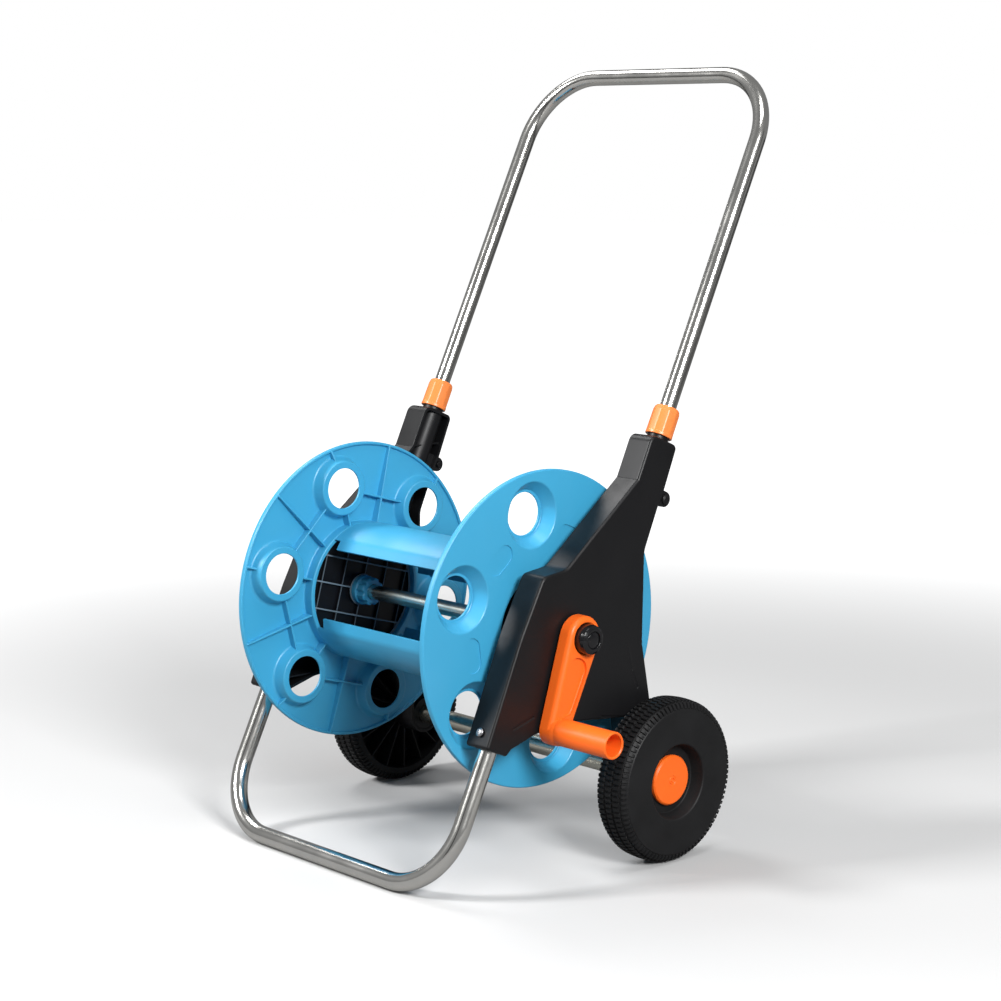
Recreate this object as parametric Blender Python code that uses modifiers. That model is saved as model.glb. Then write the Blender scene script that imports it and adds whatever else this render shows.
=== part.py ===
"""Garden hose reel cart: a two-wheeled cart with a crank-turned hose drum.

Metres, +Z up, +X towards the crank side, +Y towards the wheels.
While the cart is being built the reel's axis lies at Y = 0 and the cart's middle plane at X = 0.
The finished cart hangs from one empty, which puts the middle of its footprint at the origin.
"""

import math

import bmesh
import bpy
from mathutils import Matrix, Vector

MM = 0.001
FIT_GAP = 0.3 * MM                 # left between neighbours that touch

# Reel
REEL_Z = 228.4 * MM                # height of the reel's axis
FLANGE_RADIUS = 150 * MM
FLANGE_OUTSIDE = 134.1 * MM        # |X| of a flange's outer face
FLANGE_INSIDE = 120 * MM           # |X| where the hole cups and the drum ring end
FLANGE_PLATE = 2.6 * MM
RIM_DEPTH = 5.6 * MM
RIM_WALL = 3.0 * MM
RIB_WALL = 2.0 * MM
HOLE_COUNT = 6
HOLE_PITCH_RADIUS = 110 * MM
CUP_RIB_HEIGHT = 9 * MM            # of the ribs next to the cups, above the plate
RIM_RIB_HEIGHT = 4 * MM            # of the ribs where they meet the rim
CUP_MOUTH_RADIUS = 30 * MM         # dished hole at the flange's outer face
CUP_THROAT_RADIUS = 21.5 * MM      # dished hole at its inner end
CUP_WALL = 2.5 * MM
LEFT_CLOCKING = math.radians(45)
RIGHT_CLOCKING = math.radians(38.5)
DRUM_RING_INNER = 65.5 * MM
DRUM_RING_OUTER = 70 * MM
DRUM_SHELLS = {"drum_shell_top": (72, 53), "drum_shell_bottom": (258, 51)}   # middle, half span
SHELL_WALL = 3.0 * MM
SHELL_STRIP = 11.5 * MM            # width of the flat strip along each long edge
SHELL_BEND = math.radians(24)      # how far that strip is bent inwards
SHELL_NOTCH = 9 * MM               # how far the strips stop short of the shell's ends
FLANGE_LIP = 54 * MM               # radius of the opening in a flange's outer face
HUB_PLATE_OUTSIDE = FLANGE_OUTSIDE - FLANGE_PLATE - FIT_GAP
HUB_PLATE_DISC = 2.4 * MM
HUB_RIB_INSIDE = 125 * MM
HUB_RIB_PITCH = 27 * MM
HUB_RIB_TILT = math.radians(-15)
SHAFT_RADIUS = 7.5 * MM
SHAFT_WALL = 1.5 * MM
HUB_NUT_RADIUS = 15 * MM
HUB_NUT_INSIDE = 108 * MM

# Crank
CRANK_ARM_INSIDE = 175.4 * MM
CRANK_ARM_OUTSIDE = 190 * MM
CRANK_HUB_RADIUS = 20.8 * MM
CRANK_TIP_RADIUS = 13.8 * MM
CRANK_TIP = Vector((-31.0, 146.2)) * MM
GRIP_RADIUS = 12.6 * MM
GRIP_BORE = 10.1 * MM
GRIP_END = 257 * MM
KNOB_RADIUS = 14.2 * MM
KNOB_FACE = 200.5 * MM

# Water inlet, at the end of the reel's axis away from the crank
INLET_RADIUS = 9 * MM
INLET_BORE = 5.5 * MM
INLET_END = 192 * MM

# Side panels
PANEL_INSIDE = 145 * MM
PANEL_OUTSIDE = 173 * MM
PANEL_SKIN = 3.0 * MM
TUBE_LEAN = math.radians(25.2)     # both tube frames lean this far from the vertical
PANEL_OUTLINE = (                  # (y, z, corner radius) in millimetres, round the panel
    (103.2, 408.0, 9), (84.0, 366.0, 3), (-9.2, 291.0, 14), (-38.6, 287.2, 9),
    (-66.4, 233.5, 40), (-106.9, 138.3, 2), (-81.6, 128.0, 1), (-75.6, 133.3, 2),
    (-45.6, 142.1, 20), (0.0, 146.5, 60), (82.0, 139.0, 6), (87.2, 100.0, 20),
    (86.6, 59.0, 18), (126.6, 59.0, 16), (121.1, 96.0, 20), (96.0, 209.0, 30),
    (96.0, 297.0, 20), (113.5, 337.6, 20), (121.7, 352.8, 20), (138.2, 393.8, 5),
)
LUG_CENTRE = Vector((124.2, 343.6)) * MM
LUG_RADIUS = 7.5 * MM
LUG_BORE = 3.3 * MM
SOCKET_RADIUS = 12.4 * MM          # the handle's socket inside the panel
SOCKET_DEPTH = 150 * MM
AXLE_BOSS_RADIUS = 17 * MM
REEL_BOSS_RADIUS = 21 * MM
REEL_BORE = 11.3 * MM

TUBE_HALF_WIDTH = 159.3 * MM       # |X| of the legs of both tube frames

# Handle tube: its line in the side view, and how far it reaches
HANDLE_RADIUS = 8 * MM
HANDLE_WALL = 1.2 * MM
HANDLE_FOOT = Vector((119.7, 391.1)) * MM     # a point of the line, near the socket's mouth
HANDLE_TOP = 394.5 * MM            # from that point up to the top bar's axis
HANDLE_ENGAGED = 90 * MM           # from that point down to the tube's lower end, extended
HANDLE_TRAVEL = 160 * MM           # how far it slides down into the panels
HANDLE_BEND = 72 * MM
SOCKET_TOP = 11 * MM               # the socket's mouth, above that point along the line
NECK_HEIGHT = 15 * MM
COLLAR_LOW = 1.8 * MM              # gap left between socket and collar
COLLAR_TOP = 31 * MM               # the collar's top above the socket's mouth
COLLAR_FLAT = 12.7 * MM            # half the width over the collar's flats
COLLAR_RING = 12.2 * MM
COLLAR_SIDES = 10
NECK_RADIUS = 10.4 * MM

# Foot tube
FOOT_RADIUS = 8.5 * MM
FOOT_WALL = 1.2 * MM
FOOT_BAR_Y = -151 * MM
FOOT_TOP_Z = 240 * MM
FOOT_BEND = 66 * MM
SCREW_RADIUS = 2 * MM              # screws into the foot tube
SCREW_HOLE = 2.3 * MM

# Wheels
WHEEL_Y = 106.6 * MM
WHEEL_RADIUS = 79 * MM
WHEEL_INSIDE = 176.5 * MM
WHEEL_OUTSIDE = 212.8 * MM
WHEEL_RIBS = 16
SPACER_RADIUS = 15 * MM
AXLE_RADIUS = 9.5 * MM
AXLE_WALL = 1.5 * MM
AXLE_END = 198 * MM
CAP_RADIUS = 24.2 * MM
CAP_FACE = 205.5 * MM

ROUND_SIDES = 18
SWEEP_SIDES = 12
BEND_STEPS = 7
FLANGE_SIDES = 48
HUB_PLATE_SIDES = 32
WHEEL_SIDES = 32
UP_TUBE = Vector((0, math.sin(TUBE_LEAN), math.cos(TUBE_LEAN)))
SMOOTH_ANGLE = math.radians(35)
BORE_START = 100 * MM              # |X| between which bores through a side panel are cut
BORE_END = 200 * MM
CLEAR_BEYOND = 250 * MM            # |X| past the crank's hub, for cutters that end in the open
PLANE_REACH = 0.001 * MM           # vertices this near a flat face's plane belong to it
FLAT_ANGLE = math.radians(0.1)
REEL_AXIS = Vector((0, 0, REEL_Z))
WHEEL_AXIS = Vector((0, WHEEL_Y, WHEEL_RADIUS))

# Colours as linear RGB, with roughness and metallic value
FINISHES = {
    "blue_plastic": ((0.075, 0.39, 0.70), 0.38, 0.0),
    "black_plastic": ((0.017, 0.017, 0.019), 0.45, 0.0),
    "orange_plastic": ((1.0, 0.19, 0.03), 0.35, 0.0),
    "black_rubber": ((0.012, 0.012, 0.013), 0.7, 0.0),
    "bright_steel": ((0.62, 0.61, 0.59), 0.2, 1.0),
    "zinc_steel": ((0.45, 0.45, 0.46), 0.35, 1.0),
}


# ---------------------------------------------------------------- scene and materials

def clear_scene():
    for obj in list(bpy.data.objects):
        bpy.data.objects.remove(obj, do_unlink=True)


def make_collection(name):
    collection = bpy.data.collections.new(name)
    bpy.context.scene.collection.children.link(collection)
    return collection


def make_material(node_name, finish):
    colour, roughness, metallic = FINISHES[finish]
    material = bpy.data.materials.new(node_name)
    material.use_nodes = True
    shader = material.node_tree.nodes["Principled BSDF"]
    shader.inputs["Base Color"].default_value = (*colour, 1.0)
    shader.inputs["Roughness"].default_value = roughness
    shader.inputs["Metallic"].default_value = metallic
    material.diffuse_color = (*colour, 1.0)
    return material


def side_frame(x, y=0.0, z=0.0):
    """A frame for side-view shapes: local X, Y and Z run along the cart's Y, Z and X."""
    return Matrix.Translation((x, y, z)) @ Matrix(
        ((0, 0, 1, 0), (1, 0, 0, 0), (0, 1, 0, 0), (0, 0, 0, 1)))


def axis_frame(origin, direction, turn=0.0):
    """A frame at origin whose local Z points along direction, turned about it."""
    rotation = Vector(direction).to_track_quat("Z", "Y").to_matrix().to_4x4()
    return Matrix.Translation(origin) @ rotation @ Matrix.Rotation(turn, 4, "Z")


# ---------------------------------------------------------------- outlines

def arc(radius, start, end, steps):
    angles = [start + (end - start) * i / steps for i in range(steps + 1)]
    return [Vector((radius * math.cos(a), radius * math.sin(a))) for a in angles]


def fillet(before, corner, after, radius, steps):
    """Points of the arc that rounds a corner, in two or three dimensions."""
    to_before = (before - corner).normalized()
    to_after = (after - corner).normalized()
    half = to_before.angle(to_after) / 2
    reach = radius / math.tan(half)
    centre = corner + (to_before + to_after).normalized() * (radius / math.sin(half))
    first = corner + to_before * reach - centre
    last = corner + to_after * reach - centre
    sweep = first.angle(last)
    points = []
    for i in range(steps + 1):
        share = i / steps
        spoke = (first * math.sin((1 - share) * sweep) + last * math.sin(share * sweep))
        points.append(centre + spoke / math.sin(sweep))
    return points


def rounded_outline(corners, steps=2):
    """A closed outline from (x, y, radius) corners in millimetres."""
    places = [Vector(corner[:2]) * MM for corner in corners]
    points = []
    for i, (_, _, radius) in enumerate(corners):
        before, after = places[i - 1], places[(i + 1) % len(places)]
        points += fillet(before, places[i], after, radius * MM, steps)
    return points


def inset_corners(corners, distance):
    """The (x, y, radius) corners of an anticlockwise outline moved inwards, in millimetres."""
    moved = []
    for i, (x, y, radius) in enumerate(corners):
        corner = Vector((x, y))
        before = (corner - Vector(corners[i - 1][:2])).normalized()
        after = (Vector(corners[(i + 1) % len(corners)][:2]) - corner).normalized()
        normal = Vector((-before.y, before.x))
        mitre = (normal + Vector((-after.y, after.x))).normalized()
        place = corner + mitre * distance / mitre.dot(normal)
        turns_left = before.x * after.y - before.y * after.x > 0
        moved.append((*place, max(1.0, radius - distance) if turns_left else radius + distance))
    return moved


def tapered_slot(start, start_radius, end, end_radius, steps=10):
    """The outline around two circles and their outer tangents."""
    along = end - start
    heading = math.atan2(along.y, along.x)
    spread = math.acos((start_radius - end_radius) / along.length)
    back = [start + p for p in arc(start_radius, heading + spread,
                                   heading + math.tau - spread, steps)]
    front = [end + p for p in arc(end_radius, heading - spread, heading + spread, steps)]
    return back + front


# ---------------------------------------------------------------- solids

def tidy_mesh(mesh):
    """Weld loose caps, merge flat neighbours, face outwards and shade round faces smooth."""
    bm = bmesh.new()
    bm.from_mesh(mesh)
    bmesh.ops.remove_doubles(bm, verts=bm.verts, dist=0.001 * MM)
    bmesh.ops.dissolve_limit(bm, angle_limit=FLAT_ANGLE, verts=bm.verts, edges=bm.edges)
    bmesh.ops.recalc_face_normals(bm, faces=bm.faces)
    bm.to_mesh(mesh)
    bm.free()
    mesh.shade_smooth()
    mesh.set_sharp_from_angle(angle=SMOOTH_ANGLE)


def settle(obj):
    """Replace an object by a mesh object that holds its evaluated shape."""
    bpy.context.view_layer.update()
    graph = bpy.context.evaluated_depsgraph_get()
    mesh = bpy.data.meshes.new_from_object(obj.evaluated_get(graph))
    tidy_mesh(mesh)
    solid = bpy.data.objects.new(obj.name, mesh)
    solid.matrix_world = obj.matrix_world.copy()
    bpy.data.objects.remove(obj, do_unlink=True)
    bpy.context.scene.collection.objects.link(solid)
    return solid


def link(data, name, frame):
    obj = bpy.data.objects.new(name, data)
    obj.matrix_world = frame
    bpy.context.scene.collection.objects.link(obj)
    return obj


def slab(outlines, thickness, frame):
    """A flat piece: the first outline, less the other ones, centred on the frame's plane."""
    curve = bpy.data.curves.new("outline", "CURVE")
    curve.dimensions = "2D"
    curve.fill_mode = "BOTH"
    curve.extrude = thickness / 2
    for outline in outlines:
        spline = curve.splines.new("POLY")
        spline.points.add(len(outline) - 1)
        for point, place in zip(spline.points, outline):
            point.co = (place.x, place.y, 0, 1)
        spline.use_cyclic_u = True
    return settle(link(curve, "slab", frame))


def side_slab(outlines, x_start, x_end, y=0.0, z=0.0):
    """A slab seen from the side, between two X planes."""
    return slab(outlines, abs(x_end - x_start), side_frame((x_start + x_end) / 2, y, z))


def turned(profile, frame, segments=ROUND_SIDES, closed=False):
    """A turned piece about the frame's Z; the profile runs down its outer side."""
    mesh = bpy.data.meshes.new("turned")
    edges = [(i, i + 1) for i in range(len(profile) - 1)]
    if closed:
        edges.append((len(profile) - 1, 0))
    mesh.from_pydata([(radius, 0, height) for radius, height in profile], edges, [])
    obj = link(mesh, "turned", frame)
    screw = obj.modifiers.new("turn", "SCREW")
    screw.steps = segments
    screw.render_steps = segments
    screw.use_merge_vertices = True
    screw.merge_threshold = 0.001 * MM
    return settle(obj)


def ring(inner, outer, low, high, frame, segments=ROUND_SIDES):
    """A plain ring or tube between two heights of the frame."""
    profile = [(outer, high), (outer, low), (inner, low), (inner, high)]
    return turned(profile, frame, segments, closed=True)


def frustum(low_radius, low, high_radius, high, frame, segments=ROUND_SIDES):
    """A cone's slice, or a rod where both radii are the same, between two heights."""
    bm = bmesh.new()
    bmesh.ops.create_cone(bm, cap_ends=True, segments=segments, radius1=low_radius,
                          radius2=high_radius, depth=high - low,
                          matrix=Matrix.Translation((0, 0, (low + high) / 2)))
    mesh = bpy.data.meshes.new("frustum")
    bm.to_mesh(mesh)
    bm.free()
    return settle(link(mesh, "frustum", frame))


def rod(radius, low, high, frame, segments=ROUND_SIDES):
    return frustum(radius, low, radius, high, frame, segments)


def block(size, frame):
    bm = bmesh.new()
    bmesh.ops.create_cube(bm, size=1, matrix=Matrix.Diagonal((*size, 1)))
    mesh = bpy.data.meshes.new("block")
    bm.to_mesh(mesh)
    bm.free()
    return settle(link(mesh, "block", frame))


def bent_tube(path, radius, wall, name):
    """An open-ended tube along a path of points."""
    curve = bpy.data.curves.new(name, "CURVE")
    curve.dimensions = "3D"
    curve.bevel_depth = radius
    curve.bevel_resolution = SWEEP_SIDES // 2 - 2
    spline = curve.splines.new("POLY")
    spline.points.add(len(path) - 1)
    for point, place in zip(spline.points, path):
        point.co = (*place, 1)
    skin = settle(link(curve, name, Matrix.Identity(4)))
    solidify = skin.modifiers.new("wall", "SOLIDIFY")
    solidify.thickness = wall
    solidify.offset = -1
    solidify.use_even_offset = True
    return settle(skin)


def apply_tool(base, tool, operation):
    """Join or cut a solid with another, which is used up."""
    boolean = base.modifiers.new(operation.lower(), "BOOLEAN")
    boolean.operation = operation
    boolean.solver = "EXACT"
    boolean.object = tool
    result = settle(base)
    bpy.data.objects.remove(tool, do_unlink=True)
    return result


def join(base, *tools):
    for tool in tools:
        base = apply_tool(base, tool, "UNION")
    return base


def cut(base, *tools):
    for tool in tools:
        base = apply_tool(base, tool, "DIFFERENCE")
    return base


def clip(base, keep):
    return apply_tool(base, keep, "INTERSECT")


class Cart:
    """The finished pieces, each under the empty of the body that it moves with."""

    def __init__(self, collection):
        self.collection = collection
        self.root = self.add_pivot("cart", Vector((0, 0, 0)), None)
        self.pivots = {}

    def add_pivot(self, name, place, parent):
        pivot = bpy.data.objects.new(name, None)
        pivot.empty_display_size = 0.03
        pivot.location = place
        pivot.parent = parent
        self.collection.objects.link(pivot)
        return pivot

    def add_body(self, name, place):
        self.pivots[name] = self.add_pivot(name + "_pivot", place, self.root)

    def add(self, name, solid, finish, body=None):
        """Name a solid, give it its own material and hang it on its body's pivot."""
        pivot = self.pivots[body] if body else self.root
        solid.name = name
        solid.data.name = name
        solid.data.transform(Matrix.Translation(-Vector(pivot.location)) @ solid.matrix_world)
        solid.matrix_world = Matrix.Identity(4)
        solid.parent = pivot
        solid.data.materials.clear()
        solid.data.materials.append(make_material(name, finish))
        for owner in list(solid.users_collection):
            owner.objects.unlink(solid)
        self.collection.objects.link(solid)


# ---------------------------------------------------------------- reel

def polar(radius, angle):
    return Vector((radius * math.cos(angle), radius * math.sin(angle)))


def radial_frame(angle, x, side):
    """A frame in the plane of the reel's axis: local X outwards, local Y towards mid-reel."""
    outwards = Vector((0, math.cos(angle), math.sin(angle)))
    inwards = Vector((-side, 0, 0))
    across = outwards.cross(inwards)
    frame = Matrix((outwards, inwards, across)).transposed().to_4x4()
    return Matrix.Translation(REEL_AXIS + Vector((x, 0, 0))) @ frame


def rib_slab(start, end, start_height, end_height, angle, side):
    """A radial rib on a flange's inner side, from one radius to another."""
    base = -FLANGE_PLATE / 2
    outline = [Vector((start, base)), Vector((end, base)),
               Vector((end, end_height)), Vector((start, start_height))]
    return slab([outline], RIB_WALL, radial_frame(angle, side * (FLANGE_OUTSIDE - FLANGE_PLATE), side))


def cross_rib(angle, side):
    """A straight rib from one hole's cup to the next, across the radial rib between them."""
    half = HOLE_PITCH_RADIUS * math.sin(math.pi / HOLE_COUNT) - CUP_THROAT_RADIUS - CUP_WALL
    middle = polar(HOLE_PITCH_RADIUS * math.cos(math.pi / HOLE_COUNT), angle)
    height = 8 * MM
    centre_x = side * (FLANGE_OUTSIDE - FLANGE_PLATE - height / 2 + 0.5 * MM)
    frame = side_frame(centre_x, middle.x, REEL_Z + middle.y) @ Matrix.Rotation(angle, 4, "Z")
    return block((RIB_WALL, 2 * half, height + 1 * MM), frame)


def make_flange(side, clocking):
    """A dished-hole flange: plate on the outer side, ribs and cups on the hose side."""
    depth = FLANGE_OUTSIDE - FLANGE_INSIDE
    outer_face = Vector((side * FLANGE_OUTSIDE, 0, 0)) + REEL_AXIS
    inward = axis_frame(outer_face, (-side, 0, 0))
    profile = [(FLANGE_RADIUS, RIM_DEPTH), (FLANGE_RADIUS, 0), (FLANGE_LIP, 0),
               (FLANGE_LIP, FLANGE_PLATE), (DRUM_RING_INNER, FLANGE_PLATE),
               (DRUM_RING_INNER, depth), (DRUM_RING_OUTER, depth),
               (DRUM_RING_OUTER, FLANGE_PLATE), (FLANGE_RADIUS - RIM_WALL, FLANGE_PLATE),
               (FLANGE_RADIUS - RIM_WALL, RIM_DEPTH)]
    flange = turned(profile, inward, FLANGE_SIDES, closed=True)
    pitch = math.tau / HOLE_COUNT
    taper = (CUP_MOUTH_RADIUS - CUP_THROAT_RADIUS) / depth
    sunk = 1 * MM
    cup_edge = HOLE_PITCH_RADIUS + CUP_THROAT_RADIUS + CUP_WALL / 2
    cup_near = HOLE_PITCH_RADIUS - CUP_THROAT_RADIUS - CUP_WALL / 2
    ring_edge = DRUM_RING_OUTER - 1 * MM
    rim_edge = FLANGE_RADIUS - RIM_WALL / 2
    cups, funnels = [], []
    for i in range(HOLE_COUNT):
        angle = clocking + pitch * i
        centre = polar(HOLE_PITCH_RADIUS, angle)
        frame = axis_frame(outer_face + Vector((0, centre.x, centre.y)), (-side, 0, 0))
        cups.append(frustum(CUP_MOUTH_RADIUS + CUP_WALL - taper * sunk, sunk,
                            CUP_THROAT_RADIUS + CUP_WALL, depth, frame))
        funnels.append(frustum(CUP_MOUTH_RADIUS + taper * sunk, -sunk,
                               CUP_THROAT_RADIUS - taper * sunk, depth + sunk, frame))
        between = angle + pitch / 2
        cups += [rib_slab(cup_edge, rim_edge, CUP_RIB_HEIGHT, RIM_RIB_HEIGHT, angle, side),
                 rib_slab(ring_edge, cup_near, CUP_RIB_HEIGHT, CUP_RIB_HEIGHT, angle, side),
                 rib_slab(ring_edge, rim_edge, CUP_RIB_HEIGHT, RIM_RIB_HEIGHT, between, side),
                 cross_rib(between, side)]
    return cut(join(flange, *cups), *funnels)


def make_hub_plate(side):
    """The ribbed disc that closes a flange's middle and turns on the bearing."""
    radius = DRUM_RING_INNER - FIT_GAP
    outside = side * HUB_PLATE_OUTSIDE
    depth = HUB_PLATE_OUTSIDE - HUB_RIB_INSIDE
    inward = axis_frame(REEL_AXIS + Vector((outside, 0, 0)), (-side, 0, 0))
    profile = [(radius, depth), (radius, 0), (0, 0), (0, HUB_PLATE_DISC),
               (radius - 2.5 * MM, HUB_PLATE_DISC), (radius - 2.5 * MM, depth)]
    disc = turned(profile, inward, HUB_PLATE_SIDES, closed=True)
    parts = [rod(HUB_NUT_RADIUS, 1 * MM, depth - 0.2 * MM, inward)]
    for quarter, height in ((0, depth - 0.5 * MM), (1, depth - 0.8 * MM)):
        turn = Matrix.Rotation(HUB_RIB_TILT + quarter * math.pi / 2, 4, "Z")
        sunk = HUB_PLATE_DISC - (1 + 0.2 * quarter) * MM
        for i in range(-2, 3):
            offset = i * HUB_RIB_PITCH
            length = 2 * math.sqrt((radius - 1 * MM) ** 2 - offset ** 2)
            centre = Matrix.Translation((0, offset, (sunk + height) / 2))
            parts.append(block((length, RIB_WALL, height - sunk), inward @ turn @ centre))
    solid = join(disc, *parts)
    bore = SHAFT_RADIUS if side > 0 else INLET_RADIUS
    return cut(solid, rod(bore + FIT_GAP, -5 * MM, 20 * MM, inward))


def shell_edge(angle, turn):
    """Where a drum shell's curve ends, which way its flat strip runs on and what it faces."""
    facing = angle + turn * SHELL_BEND
    return polar(DRUM_RING_OUTER, angle), polar(1, facing + turn * math.pi / 2), polar(1, facing)


def shell_strip(angle, turn):
    """The outline's points at one long edge of a drum shell, from its outside to its inside."""
    start, along, facing = shell_edge(angle, turn)
    tip = start + along * SHELL_STRIP
    mitre = (polar(1, angle) + facing).normalized() / math.cos(SHELL_BEND / 2)
    return [tip, tip - facing * SHELL_WALL, start - mitre * SHELL_WALL]


def make_shell(middle, half):
    """A curved shell of the drum, bent in flat along each long edge."""
    low, high, trim = middle - half, middle + half, math.radians(3)
    outline = arc(DRUM_RING_OUTER, low, high, 20) + shell_strip(high, 1)
    outline += arc(DRUM_RING_OUTER - SHELL_WALL, high - trim, low + trim, 18)
    outline += shell_strip(low, -1)[::-1]
    end = FLANGE_INSIDE - FIT_GAP
    shell = side_slab([outline], -end, end, 0, REEL_Z)
    for angle, turn in ((high, 1), (low, -1)):
        start, along, _ = shell_edge(angle, turn)
        centre = start + along * (SHELL_STRIP + 1 * MM) + Vector((0, REEL_Z))
        for side in (1, -1):
            frame = side_frame(side * end, *centre)
            heading = Matrix.Rotation(math.atan2(along.y, along.x), 4, "Z")
            notch = block((2 * SHELL_STRIP, 16 * MM, 2 * SHELL_NOTCH), frame @ heading)
            shell = cut(shell, notch)
    return shell


def make_hub_nut(side):
    """The blue union nut where the shaft leaves a hub plate, with eight grip flats."""
    start = HUB_RIB_INSIDE - FIT_GAP
    length = start - HUB_NUT_INSIDE
    inward = axis_frame(REEL_AXIS + Vector((side * start, 0, 0)), (-side, 0, 0))
    collar = 6 * MM
    body = rod(HUB_NUT_RADIUS, 0, collar, inward)
    flats = rod(HUB_NUT_RADIUS * 0.93, collar - 1 * MM, length, inward, 8)
    solid = join(body, flats)
    bores = [rod(SHAFT_RADIUS + FIT_GAP, -5 * MM, length + 5 * MM, inward)]
    if side < 0:
        bores.append(rod(INLET_RADIUS + FIT_GAP, -5 * MM, length / 2, inward))
    return cut(solid, *bores)


def build_reel(cart):
    cart.add_body("reel", REEL_AXIS)
    along = axis_frame(REEL_AXIS, (1, 0, 0))
    for label, side, clocking in (("left", -1, LEFT_CLOCKING), ("right", 1, RIGHT_CLOCKING)):
        cart.add(label + "_flange", make_flange(side, clocking), "blue_plastic", "reel")
        cart.add(label + "_hub_plate", make_hub_plate(side), "black_plastic", "reel")
        cart.add(label + "_hub_nut", make_hub_nut(side), "blue_plastic", "reel")
    for name, (middle, half) in DRUM_SHELLS.items():
        shell = make_shell(math.radians(middle), math.radians(half))
        cart.add(name, shell, "blue_plastic", "reel")
    shaft_start = -(HUB_RIB_INSIDE + HUB_NUT_INSIDE) / 2 + 2 * MM
    shaft_end = CRANK_ARM_OUTSIDE - 7 * MM
    shaft = ring(SHAFT_RADIUS - SHAFT_WALL, SHAFT_RADIUS, shaft_start, shaft_end, along)
    cart.add("reel_shaft", shaft, "bright_steel", "reel")
    build_crank(cart, along, shaft_end)


def build_crank(cart, along, shaft_end):
    hub = Vector((0, REEL_Z))
    arm = side_slab([tapered_slot(hub, CRANK_HUB_RADIUS, CRANK_TIP, CRANK_TIP_RADIUS, 14)],
                    CRANK_ARM_INSIDE, CRANK_ARM_OUTSIDE)
    tip = axis_frame(Vector((0, CRANK_TIP.x, CRANK_TIP.y)), (1, 0, 0))
    arm = join(arm, rod(GRIP_RADIUS, CRANK_ARM_INSIDE + 2 * MM, GRIP_END, tip))
    along_arm = (CRANK_TIP - hub).normalized()
    pocket = tapered_slot(hub + along_arm * 31 * MM, 12.5 * MM, CRANK_TIP - along_arm * 24 * MM,
                          9.5 * MM, 8)
    knob_seat = CRANK_ARM_OUTSIDE - 6 * MM
    arm = cut(arm,
              rod(GRIP_BORE, CRANK_ARM_OUTSIDE - 5 * MM, GRIP_END + 5 * MM, tip),
              rod(SHAFT_RADIUS + FIT_GAP, BORE_START, CLEAR_BEYOND, along),
              rod(KNOB_RADIUS + 2 * FIT_GAP, knob_seat, CLEAR_BEYOND, along),
              side_slab([pocket], CRANK_ARM_OUTSIDE - 3 * MM, CRANK_ARM_OUTSIDE + 3 * MM))
    cart.add("crank_arm", arm, "orange_plastic", "reel")

    screw_radius = 2.5 * MM
    recess = KNOB_FACE - 2 * MM
    knob = turned([(screw_radius + FIT_GAP, recess), (8 * MM, recess), (8 * MM, KNOB_FACE),
                   (10.5 * MM, KNOB_FACE), (KNOB_RADIUS - 1.2 * MM, KNOB_FACE - 1.6 * MM),
                   (KNOB_RADIUS - 0.1 * MM, KNOB_FACE - 4.5 * MM), (KNOB_RADIUS, knob_seat + FIT_GAP),
                   (screw_radius + FIT_GAP, knob_seat + FIT_GAP)], along, closed=True)
    cart.add("crank_knob", knob, "black_plastic", "reel")
    head = recess + FIT_GAP
    screw = turned([(0, head + 2.2 * MM), (3.4 * MM, head + 1.6 * MM), (5.2 * MM, head + 0.5 * MM),
                    (5.2 * MM, head), (screw_radius, head), (screw_radius, head - 34 * MM),
                    (0, head - 35 * MM)], along)
    cart.add("crank_screw", screw, "zinc_steel", "reel")
    plug = ring(screw_radius + FIT_GAP, SHAFT_RADIUS - SHAFT_WALL - FIT_GAP,
                shaft_end - 24 * MM, shaft_end, along)
    cart.add("shaft_end_plug", plug, "black_plastic", "reel")


# ---------------------------------------------------------------- frame

def tube_place(x, foot, distance):
    return Vector((x, foot.x, foot.y)) + UP_TUBE * distance


def foot_line_point():
    """The foot tube's axis where it meets the bar's height, in the side view."""
    return Vector((FOOT_BAR_Y, FOOT_RADIUS))


def panel_ribs(side):
    """Stiffening ribs across the panel's hollow, from one (y, z) to another in millimetres."""
    lines = [((-100, 145), (92, 145)), ((-60, 189), (96, 189)), ((-45, 266), (98, 266)),
             ((45, 134), (45, 339)), ((-20, 134), (-20, 290)), ((76, 334), (122, 334)),
             ((85, 111), (125, 111)), ((88, 366), (130, 366))]
    for i, ((y0, z0), (y1, z1)) in enumerate(lines):
        start, end = Vector((y0, z0)) * MM, Vector((y1, z1)) * MM
        middle, run = (start + end) / 2, end - start
        low, high = PANEL_INSIDE + (2 + 0.3 * i) * MM, PANEL_OUTSIDE - (1.2 + 0.1 * i) * MM
        turn = Matrix.Rotation(math.atan2(run.y, run.x), 4, "Z")
        frame = side_frame(side * (low + high) / 2, middle.x, middle.y) @ turn
        yield block((run.length, RIB_WALL, high - low), frame)


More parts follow.
